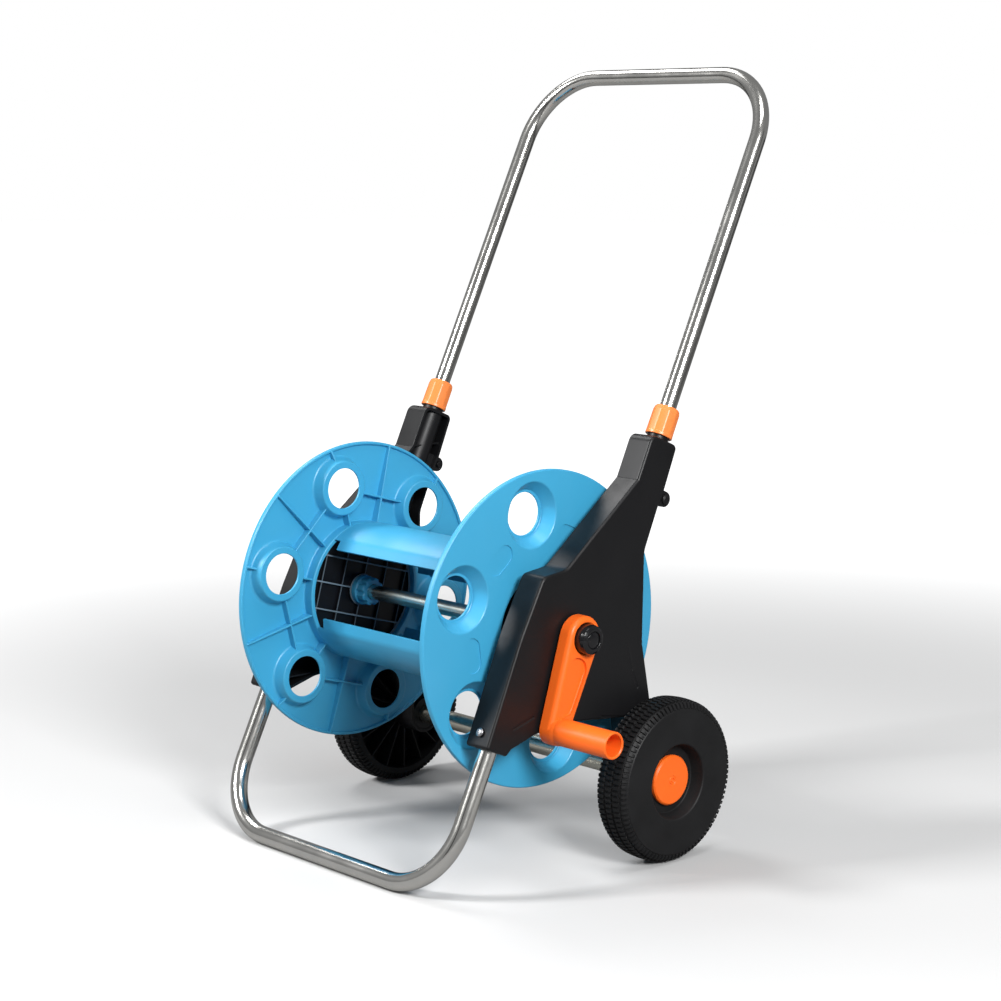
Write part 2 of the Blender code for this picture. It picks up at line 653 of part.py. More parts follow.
def make_panel(side):
    outline = rounded_outline(PANEL_OUTLINE)
    mid_wall = rounded_outline(inset_corners(PANEL_OUTLINE, 1))
    inner_wall = rounded_outline(inset_corners(PANEL_OUTLINE, PANEL_SKIN / MM))
    inside, outside = side * PANEL_INSIDE, side * PANEL_OUTSIDE
    skin = outside - side * PANEL_SKIN
    beyond = inside - side * 5 * MM
    along = axis_frame(REEL_AXIS, (side, 0, 0))
    axle = axis_frame(WHEEL_AXIS, (side, 0, 0))
    mouth = axis_frame(tube_place(side * TUBE_HALF_WIDTH, HANDLE_FOOT, 0), UP_TUBE)
    foot = axis_frame(tube_place(side * TUBE_HALF_WIDTH, foot_line_point(), 0), UP_TUBE)
    lug_outline = tapered_slot(LUG_CENTRE - Vector((14, -6)) * MM, LUG_RADIUS * 1.001,
                               LUG_CENTRE, LUG_RADIUS, 8)

    shell = side_slab([outline], inside, outside)
    shell = cut(shell, side_slab([inner_wall], beyond, skin))
    ribs = [clip(rib, side_slab([mid_wall], beyond, outside + side * 5 * MM))
            for rib in panel_ribs(side)]
    shell = join(
        shell, *ribs,
        rod(SOCKET_RADIUS, -SOCKET_DEPTH, SOCKET_TOP - 2 * MM, mouth),
        rod(NECK_RADIUS, SOCKET_TOP - 4 * MM, SOCKET_TOP + NECK_HEIGHT, mouth),
        rod(REEL_BOSS_RADIUS, PANEL_INSIDE + 0.5 * MM, PANEL_OUTSIDE - 0.9 * MM, along),
        rod(AXLE_BOSS_RADIUS, PANEL_INSIDE + 0.7 * MM, PANEL_OUTSIDE - 0.8 * MM, axle),
        side_slab([lug_outline], side * (PANEL_INSIDE + 5 * MM), side * (PANEL_OUTSIDE - 2 * MM)))
    shell = cut(
        shell,
        rod(HANDLE_RADIUS + FIT_GAP, -(HANDLE_ENGAGED + HANDLE_TRAVEL + 8 * MM), 60 * MM, mouth),
        rod(FOOT_RADIUS + FIT_GAP, 20 * MM, foot_length() + FIT_GAP, foot),
        rod(REEL_BORE, BORE_START, BORE_END, along),
        rod(AXLE_RADIUS + FIT_GAP, BORE_START, BORE_END, axle),
        rod(SCREW_HOLE, 0, 30 * MM, screw_frame(side), 12),
        rod(LUG_BORE, BORE_START, BORE_END, lug_frame(side), 12))
    flatten(shell, inside)
    flatten(shell, outside)
    return shell


def flatten(solid, x):
    """Put the vertices of an upright flat face exactly on its plane."""
    place = solid.matrix_world.copy()
    solid.data.transform(place)
    solid.matrix_world = Matrix.Identity(4)
    for vertex in solid.data.vertices:
        if abs(vertex.co.x - x) < PLANE_REACH:
            vertex.co.x = x


def foot_length():
    return (FOOT_TOP_Z - FOOT_RADIUS) / math.cos(TUBE_LEAN)


def screw_frame(side):
    """The screw through the panel's front wall into the foot tube, pointing into the tube."""
    place = tube_place(side * TUBE_HALF_WIDTH, foot_line_point(), 150 * MM)
    into = Vector((0, math.cos(TUBE_LEAN), -math.sin(TUBE_LEAN)))
    return axis_frame(place - into * 24 * MM, into)


def lug_frame(side):
    return axis_frame(Vector((0, LUG_CENTRE.x, LUG_CENTRE.y)), (side, 0, 0))


def build_panels(cart):
    for label, side in (("left", -1), ("right", 1)):
        cart.add(label + "_panel", make_panel(side), "black_plastic")
        lug_pin = turned([(0, 174 * MM), (3.6 * MM, 173.6 * MM), (5 * MM, 172.6 * MM),
                          (5 * MM, PANEL_OUTSIDE - 2 * MM + FIT_GAP),
                          (3 * MM, PANEL_OUTSIDE - 2 * MM + FIT_GAP),
                          (3 * MM, 147 * MM), (0, 146.5 * MM)], lug_frame(side), 12)
        cart.add(label + "_lug_pin", lug_pin, "black_plastic")
        bearing = bearing_sleeve(side)
        cart.add(label + "_reel_bearing", bearing, "black_plastic")


def bearing_sleeve(side):
    """A flanged bush that carries the reel in a side panel."""
    shaft = SHAFT_RADIUS if side > 0 else INLET_RADIUS
    frame = axis_frame(REEL_AXIS, (side, 0, 0))
    sleeve = REEL_BORE - FIT_GAP
    flange_out, flange_in = PANEL_INSIDE - FIT_GAP, FLANGE_OUTSIDE + 1.5 * MM
    end, flange_radius = PANEL_OUTSIDE - FIT_GAP, 17 * MM
    return turned([(sleeve, end), (sleeve, flange_out), (flange_radius, flange_out),
                   (flange_radius, flange_in), (shaft + FIT_GAP, flange_in),
                   (shaft + FIT_GAP, end)], frame, closed=True)


def u_frame_path(half_width, foot, low, high, bend):
    """A U of tube in the leaning plane, from one open end round to the other."""
    corners = [tube_place(-half_width, foot, low), tube_place(-half_width, foot, high),
               tube_place(half_width, foot, high), tube_place(half_width, foot, low)]
    path = [corners[0]]
    path += fillet(corners[0], corners[1], corners[2], bend, BEND_STEPS)
    path += fillet(corners[1], corners[2], corners[3], bend, BEND_STEPS)
    path.append(corners[3])
    return path


def build_foot(cart):
    path = u_frame_path(TUBE_HALF_WIDTH, foot_line_point(), foot_length(), 0, FOOT_BEND)
    tube = bent_tube(path, FOOT_RADIUS, FOOT_WALL, "foot_tube")
    screws = {}
    for label, side in (("left", -1), ("right", 1)):
        frame = screw_frame(side)
        tube = cut(tube, rod(SCREW_HOLE, 0, 22 * MM, frame, 12))
        head = 6.9 * MM
        screws[label] = turned([(0, 20 * MM), (SCREW_RADIUS, 19 * MM), (SCREW_RADIUS, head),
                                (4 * MM, head), (4 * MM, head - 1.2 * MM),
                                (2.6 * MM, head - 2.4 * MM), (0, head - 2.6 * MM)], frame, 12)
    cart.add("foot_tube", tube, "bright_steel")
    for label, screw in screws.items():
        cart.add(label + "_foot_screw", screw, "zinc_steel")


def build_handle(cart):
    cart.add_body("handle", tube_place(0, HANDLE_FOOT, 0))
    path = u_frame_path(TUBE_HALF_WIDTH, HANDLE_FOOT, -HANDLE_ENGAGED, HANDLE_TOP, HANDLE_BEND)
    tube = bent_tube(path, HANDLE_RADIUS, HANDLE_WALL, "handle_tube")
    cart.add("handle_tube", tube, "bright_steel", "handle")
    stub = HANDLE_RADIUS - HANDLE_WALL - FIT_GAP
    for label, side in (("left", -1), ("right", 1)):
        end = axis_frame(tube_place(side * TUBE_HALF_WIDTH, HANDLE_FOOT, -HANDLE_ENGAGED),
                         UP_TUBE)
        plug = turned([(0, 13 * MM), (stub - 1 * MM, 13 * MM), (stub, 11 * MM),
                       (stub, -FIT_GAP), (HANDLE_RADIUS, -FIT_GAP), (HANDLE_RADIUS, -3 * MM),
                       (HANDLE_RADIUS - 1 * MM, -4 * MM), (0, -4 * MM)], end)
        cart.add(label + "_tube_plug", plug, "black_plastic", "handle")


def build_collars(cart):
    """The twist collars that lock the handle, and the clamping ring inside each."""
    for label, side in (("left", -1), ("right", 1)):
        body = label + "_collar"
        place = tube_place(side * TUBE_HALF_WIDTH, HANDLE_FOOT, 0)
        cart.add_body(body, place)
        frame = axis_frame(place, UP_TUBE)
        low, high = SOCKET_TOP + COLLAR_LOW, SOCKET_TOP + COLLAR_TOP
        shoulder = high - 3.5 * MM
        facets = rod(COLLAR_FLAT / math.cos(math.pi / COLLAR_SIDES), low, shoulder, frame,
                     COLLAR_SIDES)
        cone = turned([(0, high), (COLLAR_RING - 1 * MM, high), (COLLAR_RING, high - 1 * MM),
                       (COLLAR_RING, shoulder - 3 * MM), (0, shoulder - 3 * MM)], frame)
        collar = cut(join(facets, cone),
                     rod(NECK_RADIUS + FIT_GAP, low - 5 * MM, shoulder - 1 * MM, frame),
                     rod(HANDLE_RADIUS + FIT_GAP, low, high + 5 * MM, frame))
        cart.add(body, collar, "orange_plastic", body)
        clamp_low = SOCKET_TOP + NECK_HEIGHT + FIT_GAP
        clamp = ring(HANDLE_RADIUS + FIT_GAP, NECK_RADIUS, clamp_low,
                     shoulder - 1 * MM - FIT_GAP, frame)
        cart.add(label + "_clamp_ring", clamp, "black_plastic")


def build_inlet(cart):
    """The water inlet that the reel's left end turns on, with its threaded outer end."""
    frame = axis_frame(REEL_AXIS, (-1, 0, 0))
    nose = HUB_RIB_INSIDE - 5 * MM
    lip = PANEL_OUTSIDE + FIT_GAP
    profile = [(INLET_RADIUS + 1.6 * MM, INLET_END), (INLET_RADIUS + 1.6 * MM, lip + 5 * MM),
               (14 * MM, lip + 5 * MM), (14 * MM, lip), (INLET_RADIUS, lip),
               (INLET_RADIUS, nose), (INLET_BORE, nose), (INLET_BORE, INLET_END)]
    cart.add("water_inlet", turned(profile, frame, closed=True), "black_plastic")


# ---------------------------------------------------------------- wheels

def make_wheel(side):
    """A moulded wheel: tread, outer disc with a sunk centre, and ribs behind."""
    frame = axis_frame(WHEEL_AXIS, (side, 0, 0))
    low, high = WHEEL_INSIDE, WHEEL_OUTSIDE
    r = WHEEL_RADIUS
    bore = AXLE_RADIUS + FIT_GAP
    sunk = CAP_FACE - 6 * MM
    profile = [
        (bore, sunk), (33 * MM, sunk), (36 * MM, high - 1 * MM), (37 * MM, high),
        (r - 11 * MM, high), (r - 4 * MM, high - 3 * MM), (r - 0.6 * MM, high - 9 * MM),
        (r, (low + high) / 2), (r - 0.6 * MM, low + 9 * MM), (r - 4 * MM, low + 3 * MM),
        (r - 11 * MM, low), (r - 14 * MM, low), (r - 14 * MM, high - 4 * MM),
        (38 * MM, high - 4 * MM), (34 * MM, sunk - 4 * MM), (17 * MM, sunk - 4 * MM),
        (17 * MM, low), (bore, low)]
    wheel = turned(profile, frame, WHEEL_SIDES, closed=True)
    ribs = []
    for i in range(WHEEL_RIBS):
        turn = Matrix.Rotation(math.tau * i / WHEEL_RIBS, 4, "Z")
        length = r - 13 * MM - 15 * MM
        rib = frame @ turn @ Matrix.Translation((15 * MM + length / 2, 0, (low + sunk) / 2))
        ribs.append(block((length, RIB_WALL, sunk - low - 4 * MM), rib))
    return join(wheel, *ribs)


def build_wheels(cart):
    along = axis_frame(WHEEL_AXIS, (1, 0, 0))
    cart.add("wheel_axle", ring(AXLE_RADIUS - AXLE_WALL, AXLE_RADIUS, -AXLE_END, AXLE_END,
                                along), "bright_steel")
    for label, side in (("left", -1), ("right", 1)):
        body = label + "_wheel"
        frame = axis_frame(WHEEL_AXIS, (side, 0, 0))
        cart.add_body(body, WHEEL_AXIS)
        cart.add(body, make_wheel(side), "black_rubber", body)
        seat = CAP_FACE - 6 * MM + FIT_GAP
        skirt = CAP_RADIUS - 3 * MM
        cap = turned([(0, CAP_FACE), (CAP_RADIUS - 6 * MM, CAP_FACE - 0.4 * MM),
                      (CAP_RADIUS - 1.5 * MM, CAP_FACE - 1.4 * MM), (CAP_RADIUS, CAP_FACE - 3.4 * MM),
                      (CAP_RADIUS, seat), (skirt, seat), (skirt, CAP_FACE - 3.4 * MM),
                      (0, CAP_FACE - 3.4 * MM)], frame, 24)
        cart.add(label + "_hub_cap", cap, "orange_plastic", body)
        washer_low = PANEL_OUTSIDE + FIT_GAP
        cart.add(label + "_axle_spacer", ring(AXLE_RADIUS + FIT_GAP, SPACER_RADIUS, washer_low,
                                              WHEEL_INSIDE - FIT_GAP, frame), "black_plastic")
        stopper = AXLE_RADIUS - AXLE_WALL - FIT_GAP
        push_cap = turned([(0, AXLE_END + 1.6 * MM), (9 * MM, AXLE_END + 1.6 * MM),
                           (9 * MM, AXLE_END + FIT_GAP), (stopper, AXLE_END + FIT_GAP),
                           (stopper, AXLE_END - 12 * MM), (0, AXLE_END - 12 * MM)], frame)
        cart.add(label + "_axle_plug", push_cap, "zinc_steel")


def place_origin(cart):
    """Move the whole cart so that the middle of its footprint is the origin."""
    left, right = -WHEEL_OUTSIDE, GRIP_END
    front = FOOT_BAR_Y - FOOT_RADIUS
    rear = (tube_place(0, HANDLE_FOOT, HANDLE_TOP)).y + HANDLE_RADIUS
    cart.root.location = (-(left + right) / 2, -(front + rear) / 2, 0)


def main():
    clear_scene()
    cart = Cart(make_collection("garden_hose_reel_cart"))
    build_panels(cart)
    build_foot(cart)
    build_inlet(cart)
    build_wheels(cart)
    build_reel(cart)
    build_handle(cart)
    build_collars(cart)
    place_origin(cart)
    bpy.context.view_layer.update()


main()
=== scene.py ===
import math

import bmesh
import bpy
from mathutils import Matrix, Vector


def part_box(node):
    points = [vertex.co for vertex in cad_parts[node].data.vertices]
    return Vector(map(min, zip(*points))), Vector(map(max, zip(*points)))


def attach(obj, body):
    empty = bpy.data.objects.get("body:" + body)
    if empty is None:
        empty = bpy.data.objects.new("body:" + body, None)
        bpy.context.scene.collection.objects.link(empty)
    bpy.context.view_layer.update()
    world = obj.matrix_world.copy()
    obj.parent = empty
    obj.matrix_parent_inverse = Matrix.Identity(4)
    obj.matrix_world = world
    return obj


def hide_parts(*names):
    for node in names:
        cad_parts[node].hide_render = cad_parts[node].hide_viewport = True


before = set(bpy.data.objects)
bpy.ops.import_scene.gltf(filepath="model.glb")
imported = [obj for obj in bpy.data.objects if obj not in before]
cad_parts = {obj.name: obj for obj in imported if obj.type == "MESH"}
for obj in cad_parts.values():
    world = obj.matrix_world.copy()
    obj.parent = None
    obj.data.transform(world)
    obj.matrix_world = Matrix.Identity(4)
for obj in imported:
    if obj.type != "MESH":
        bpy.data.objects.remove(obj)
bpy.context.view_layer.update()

# Looks of the garden hose reel cart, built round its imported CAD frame.
# Shapes are built in millimetres: +Z up, +X towards the crank, +Y towards the wheels.
# Until a piece is placed, the cart's middle plane is at x = 0, and the reel's axis at y = 0.
# What belongs to the reel or to a wheel is built round its own axis. What comes in pairs is
# built for the right side and mirrored for the left one.

MM = 0.001
MIRROR = Matrix.Scale(-1, 4, (1, 0, 0))


def span(node):
    """A CAD node's lowest and highest corner in millimetres, in the frame."""
    return [Vector([round(value / MM, 2) for value in corner]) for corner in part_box(node)]


def middle(node):
    low, high = span(node)
    return (low + high) / 2


# -------- measures from the CAD frame

ORIGIN = Vector(((middle("left_panel").x + middle("right_panel").x) / 2,
                 middle("reel_shaft").y, 0))
REEL_AXIS = Vector((0, 0, middle("reel_shaft").z))
WHEEL_AXIS = Vector((0, middle("wheel_axle").y - ORIGIN.y, middle("wheel_axle").z))


def reach(node):
    """How near and how far from the middle plane a CAD node on the right side lies."""
    low, high = span(node)
    return low.x - ORIGIN.x, high.x - ORIGIN.x


def reach_left(node):
    """The same for a CAD node on the left side."""
    low, high = span(node)
    return ORIGIN.x - high.x, ORIGIN.x - low.x


def half_height(node):
    low, high = span(node)
    return (high.z - low.z) / 2


FLANGE_INSIDE, FLANGE_OUTSIDE = reach("right_flange")
FLANGE_RADIUS = half_height("right_flange")
HUB_PLATE_INSIDE, HUB_PLATE_OUTSIDE = reach("right_hub_plate")
HUB_PLATE_RADIUS = half_height("right_hub_plate")
HUB_NUT_INSIDE, HUB_NUT_OUTSIDE = reach("right_hub_nut")
SHAFT_START, SHAFT_END = reach("reel_shaft")
SHAFT_RADIUS = half_height("reel_shaft")
SHELL_END = reach("drum_shell_top")[1]
PANEL_INSIDE, PANEL_OUTSIDE = reach("right_panel")
WHEEL_INSIDE, WHEEL_OUTSIDE = reach("right_wheel")
WHEEL_RADIUS = WHEEL_AXIS.z
CAP_SEAT, CAP_FACE = reach("right_hub_cap")
CAP_RADIUS = half_height("right_hub_cap")
AXLE_END = reach("wheel_axle")[1]
AXLE_RADIUS = half_height("wheel_axle")
ARM_INSIDE, GRIP_END = reach("crank_arm")
KNOB_SEAT, KNOB_FACE = reach("crank_knob")
KNOB_RADIUS = half_height("crank_knob")

# -------- measures of the details

GAP = 0.3
PLATE = 2.6                        # the flanges' plate
RIM_DEPTH, RIM_WALL = 5.6, 3.0
HOLES = 6
HOLE_PITCH = 110.0
MOUTH, THROAT = 30.0, 20.2         # a dished hole's radii, outside and inside the flange
CUP_TOP, CUP_FOOT, CUP_SKIRT = 27.0, 30.8, 33.8     # the cup's outer radii round that hole
PAD_PITCH, PAD_REACH, PAD_RADIUS, PAD_DEPTH = 90.3, 7.0, 9.7, 1.1
DRUM_RING = (65.5, 70.0)
FLANGE_LIP = 54.0
LEFT_CLOCKING, RIGHT_CLOCKING = math.radians(45), math.radians(38.5)
DRUM_SHELLS = {"drum_shell_top": (72, 53), "drum_shell_bottom": (258, 51)}   # middle, half span
SHELL_WALL, SHELL_STRIP, SHELL_NOTCH = 3.0, 11.5, 9.0
SHELL_BEND = math.radians(24)      # how far the flat strip along each long edge is bent in
HUB_RIB_PITCH = 27.0
NUT_FLUTES, FLUTE_DEPTH = 8, 1.9
SHAFT_WALL = 1.5                   # of the reel's shaft and of the wheels' axle
INLET_RADIUS = 9.0
REEL_BOSS, REEL_BORE = 21.0, 11.3
AXLE_BOSS = 17
THROUGH = (100, 200)               # from inside to outside a panel, well past both faces

ARM_OUTSIDE = 190.0
ARM_HUB, ARM_TIP = 20.8, 13.8      # the crank arm's end radii
CRANK_TIP = Vector((-31.0, 146.2)) - REEL_AXIS.yz
GRIP_RADIUS, GRIP_BORE = 12.6, 10.1

SKIN = 3.0
LEAN = math.radians(25.2)          # both tube frames lean this far from the vertical
UP_TUBE = Vector((0, math.sin(LEAN), math.cos(LEAN)))
LEAN_NORMAL = Vector((0, math.cos(LEAN), -math.sin(LEAN)))
PANEL_OUTLINE = (                  # (y, z, corner radius) round a side panel
    (103.2, 408.0, 9), (84.0, 366.0, 3), (-9.2, 291.0, 14), (-38.6, 287.2, 9),
    (-66.4, 233.5, 40), (-106.9, 138.3, 3), (-81.6, 128.0, 2), (-75.6, 133.3, 2),
    (-45.6, 142.1, 20), (0.0, 146.5, 60), (82.0, 139.0, 6), (87.2, 100.0, 20),
    (86.6, 59.0, 18), (126.6, 59.0, 16), (121.1, 96.0, 20), (96.0, 209.0, 30),
    (96.0, 297.0, 20), (113.5, 337.6, 20), (121.7, 352.8, 20), (138.2, 393.8, 5),
)
PANEL_RIBS = (                     # (y, z) to (y, z)
    ((-100, 145), (92, 145)), ((-60, 189), (96, 189)), ((-45, 266), (98, 266)),
    ((45, 134), (45, 339)), ((-20, 134), (-20, 290)), ((76, 334), (122, 334)),
    ((85, 111), (125, 111)), ((88, 366), (130, 366)),
)
PANEL_CREASES = (                  # moulded lines on the outer face, (y, z) to (y, z)
    ((75.2, 209.6), (82.1, 183.5)), ((82.1, 183.5), (90.0, 165.6)),
    ((-75.0, 151.9), (-48.6, 159.7)), ((40.0, 145.6), (71.7, 140.5)),
)
EDGE_ROUND = 2.8
LUG = Vector((124.2, 343.6))
LUG_RADIUS, LUG_BORE, LUG_SLOT = 7.5, 3.3, 4.4
TUBE_HALF_WIDTH = 159.3

HANDLE_RADIUS, HANDLE_WALL = 8.0, 1.2
HANDLE_FOOT = Vector((119.7, 391.1))
HANDLE_TOP, HANDLE_ENGAGED, HANDLE_TRAVEL = 394.5, 90.0, 160.0
HANDLE_BEND = 72.0
SOCKET_TOP, NECK_HEIGHT, NECK_RADIUS = 11.0, 15.0, 10.4
SOCKET_RADIUS, SOCKET_DEPTH = 12.4, 150
COLLAR_LOW, COLLAR_TOP = SOCKET_TOP + 1.8, SOCKET_TOP + 31.0
COLLAR_FACETS = 10

FOOT_RADIUS, FOOT_WALL = 8.5, 1.2
FOOT_BAR = Vector((-151.0, FOOT_RADIUS))
FOOT_TOP_Z, FOOT_BEND = 240.0, 66.0
FOOT_LENGTH = (FOOT_TOP_Z - FOOT_RADIUS) / math.cos(LEAN)
SCREW_HOLE, SCREW_HEIGHT = 2.3, 150

TREAD_LUGS = 92
TREAD_DEPTH = 1.9
TREAD_ROWS = 5
LUG_STEPS = (0.0, 0.08, 0.12, 0.20, 0.5, 0.58, 0.62, 0.70)   # a lug pitch's vertices, any row
WHEEL_RIBS = 16

FINE, ROUND, SMALL = 160, 72, 40   # steps round large, middling and small turned pieces
SMOOTH_ANGLE = math.radians(32)
FLAT_ANGLE = math.radians(0.05)
MERGE = 0.002
NOISE_RANGE = (0.3, 0.7)           # where nearly all of a noise's values lie

# -------- camera and light

CAMERA_PLACE = Vector((1588.28, -1460.75, 651.61))
CAMERA_AZIMUTH = math.radians(46.0206)
CAMERA_ELEVATION = math.radians(8.3556)
CAMERA_ROLL = math.radians(0.8755)
CAMERA_LENS = 81.13
LIGHT_TARGET, CARD_TARGET = (0, 0, 0.3), (0, 0, 0.4)    # in metres, as all of the studio
FLOOR_SIZE, FLOOR_DROP = 40, 0.0005
FLOOR_GREY, FLOOR_BOUNCE = 0.60, 0.22
FLOOR_FADE = (0.75, 2.4)


# -------- outlines

def side_frame(x, y=0.0, z=0.0):
    """A frame for side-view shapes: local X, Y and Z run along the cart's Y, Z and X."""
    return Matrix.Translation((x, y, z)) @ Matrix(
        ((0, 0, 1, 0), (1, 0, 0, 0), (0, 1, 0, 0), (0, 0, 0, 1)))


def axis_frame(origin, direction, turn=0.0):
    """A frame at origin whose local Z points along direction, turned about it."""
    rotation = Vector(direction).to_track_quat("Z", "Y").to_matrix().to_4x4()
    return Matrix.Translation(origin) @ rotation @ Matrix.Rotation(turn, 4, "Z")


OUTWARD = axis_frame((0, 0, 0), (1, 0, 0))


def polar(radius, angle):
    return Vector((radius * math.cos(angle), radius * math.sin(angle)))


def turn_angles(count):
    return [math.tau * i / count for i in range(count)]


def arc(radius, start, end, steps):
    return [polar(radius, start + (end - start) * i / steps) for i in range(steps + 1)]


def fillet(before, corner, after, radius, steps):
    """Points of the arc that rounds a corner, in two or three dimensions."""
    to_before = (before - corner).normalized()
    to_after = (after - corner).normalized()
    half = to_before.angle(to_after) / 2
    reach_along = radius / math.tan(half)
    centre = corner + (to_before + to_after).normalized() * (radius / math.sin(half))
    first = corner + to_before * reach_along - centre
    last = corner + to_after * reach_along - centre
    sweep = first.angle(last)
    points = []
    for i in range(steps + 1):
        share = i / steps
        spoke = first * math.sin((1 - share) * sweep) + last * math.sin(share * sweep)
        points.append(centre + spoke / math.sin(sweep))
    return points


def rounded(corners, closed=True, steps=4):
    """A path through (x, y, radius) corners, each rounded by its radius."""
    points = []
    for i, (x, y, radius) in enumerate(corners):
        corner = Vector((x, y))
        if radius == 0 or (not closed and i in (0, len(corners) - 1)):
            points.append(corner)
            continue
        before = Vector(corners[i - 1][:2])
        after = Vector(corners[(i + 1) % len(corners)][:2])
        points += fillet(before, corner, after, radius, steps)
    return points


def inset_corners(corners, distance):
    """The (x, y, radius) corners of an anticlockwise outline moved inwards."""
    inner = []
    for i, (x, y, radius) in enumerate(corners):
        corner = Vector((x, y))
        before = (corner - Vector(corners[i - 1][:2])).normalized()
        after = (Vector(corners[(i + 1) % len(corners)][:2]) - corner).normalized()
        normal = Vector((-before.y, before.x))
        mitre = (normal + Vector((-after.y, after.x))).normalized()
        point = corner + mitre * distance / mitre.dot(normal)
        turns_left = before.x * after.y - before.y * after.x > 0
        inner.append((*point, max(0.6, radius - distance) if turns_left else radius + distance))
    return inner


def slot_outline(start, start_radius, end, end_radius, steps=24):
    """The outline around two circles and their outer tangents."""
    along = end - start
    heading = math.atan2(along.y, along.x)
    opening = math.acos((start_radius - end_radius) / along.length)
    back = [start + p for p in arc(start_radius, heading + opening,
                                   heading + math.tau - opening, steps)]
    front = [end + p for p in arc(end_radius, heading - opening, heading + opening, steps)]
    return back + front


# -------- solids

def link(mesh, name="solid"):
    obj = bpy.data.objects.new(name, mesh)
    bpy.context.scene.collection.objects.link(obj)
    return obj


def skin(rings, matrix, loop=False, caps=False):
    """A closed solid over rings of points; a ring of one point closes an end."""
    bm = bmesh.new()
    made = [[bm.verts.new(point) for point in ring] for ring in rings]
    pairs = list(zip(made, made[1:]))
    if loop:
        pairs.append((made[-1], made[0]))
    for a, b in pairs:
        for i in range(max(len(a), len(b))):
            j = i + 1
            around = (a[i % len(a)], a[j % len(a)], b[j % len(b)], b[i % len(b)])
            bm.faces.new(list(dict.fromkeys(around)))
    if caps:
        bm.faces.new(made[0])
        bm.faces.new(made[-1])
    bmesh.ops.recalc_face_normals(bm, faces=bm.faces)
    bm.transform(matrix)
    mesh = bpy.data.meshes.new("solid")
    bm.to_mesh(mesh)
    bm.free()
    return link(mesh)


def revolve(profile, matrix, angles, carve=None):
    """A turned solid from (radius, height) points; ends on the axis close it."""
    rings = []
    for i, (radius, height) in enumerate(profile):
        if radius < 1e-6:
            rings.append([(0, 0, height)])
            continue
        ring = []
        for j, angle in enumerate(angles):
            r, h = carve(i, j, radius, height) if carve else (radius, height)
            ring.append((*polar(r, angle), h))
        rings.append(ring)
    return skin(rings, matrix, loop=profile[0][0] > 1e-6)


def lathe(corners, matrix=OUTWARD, count=ROUND, steps=4):
    """A turned solid from (radius, height, rounding) corners."""
    closed = corners[0][0] > 0
    return revolve(rounded(corners, closed, steps), matrix, turn_angles(count))


def sleeve(outer, inner, low, high, matrix=OUTWARD, count=ROUND, edge=0.3):
    return lathe([(outer, high, edge), (outer, low, edge), (inner, low, edge),
                  (inner, high, edge)], matrix, count)


def rod(radius, low, high, matrix, count=ROUND, edge=0.0):
    return lathe([(0, high, 0), (radius, high, edge), (radius, low, edge), (0, low, 0)],
                 matrix, count)


def rim_layers(low, high, low_round, high_round, steps=5):
    """(inset, height) pairs that round both rims of a slab."""
    quarter = [math.pi / 2 * i / steps for i in range(steps + 1)]
    layers = [(low_round * (1 - math.sin(a)), low + low_round * (1 - math.cos(a)))
              for a in quarter] if low_round else [(0, low)]
    layers += [(high_round * (1 - math.cos(a)), high - high_round * (1 - math.sin(a)))
               for a in quarter] if high_round else [(0, high)]
    return layers


def pillow(outline_at, low, high, low_round, high_round, matrix=side_frame(0)):
    """A slab with rounded rims; outline_at(inset) gives its outline, moved inwards."""
    rings = []
    for inset, height in rim_layers(low, high, low_round, high_round):
        rings.append([(*point, height) for point in outline_at(inset)])
    return skin(rings, matrix, caps=True)


def box_solid(size, matrix, edge=0.0):
    """A block with its edges rounded."""
    x, y, z = (value / 2 for value in size)
    corners = ((-x, -y), (x, -y), (x, y), (-x, y))

    def outline_at(inset):
        inner = [(cx - math.copysign(inset, cx), cy - math.copysign(inset, cy),
                  max(edge - inset, 0.05) if edge else 0) for cx, cy in corners]
        return rounded(inner, steps=2)
    return pillow(outline_at, -z, z, edge, edge, matrix)


def bent_tube(path, normal, radius, wall, sides=40):
    """An open-ended tube along a path that lies in one plane."""
    def circle(centre, tangent, r):
        across = tangent.cross(normal).normalized()
        return [centre + normal * (r * math.cos(a)) + across * (r * math.sin(a))
                for a in turn_angles(sides)]
    outer, inner = [], []
    for i, centre in enumerate(path):
        tangent = path[min(i + 1, len(path) - 1)] - path[max(i - 1, 0)]
        outer.append(circle(centre, tangent, radius))
        inner.append(circle(centre, tangent, radius - wall))
    return skin(outer + inner[::-1], Matrix.Identity(4), loop=True)


def settle(obj):
    """Replace an object's mesh by its evaluated shape."""
    bpy.context.view_layer.update()
    graph = bpy.context.evaluated_depsgraph_get()
    mesh = bpy.data.meshes.new_from_object(obj.evaluated_get(graph))
    obj.modifiers.clear()
    obj.data = mesh
    return obj


def apply_tool(base, tool, operation):
    """Join or cut a solid with another, which is used up."""
    boolean = base.modifiers.new(operation.lower(), "BOOLEAN")
    boolean.operation = operation
    boolean.solver = "MANIFOLD"
    boolean.object = tool
    settle(base)
    bpy.data.objects.remove(tool, do_unlink=True)
    return base


def join(base, *tools):
    for tool in tools:
        apply_tool(base, tool, "UNION")
    return base


def cut(base, *tools):
    for tool in tools:
        apply_tool(base, tool, "DIFFERENCE")
    return base


def clip(base, keep):
    return apply_tool(base, keep, "INTERSECT")


def moved(obj, matrix):
    obj.data.transform(matrix)
    if matrix.determinant() < 0:
        obj.data.flip_normals()
    return obj


def twin(obj):
    """A mirrored copy for the left side."""
    return moved(link(obj.data.copy()), MIRROR)


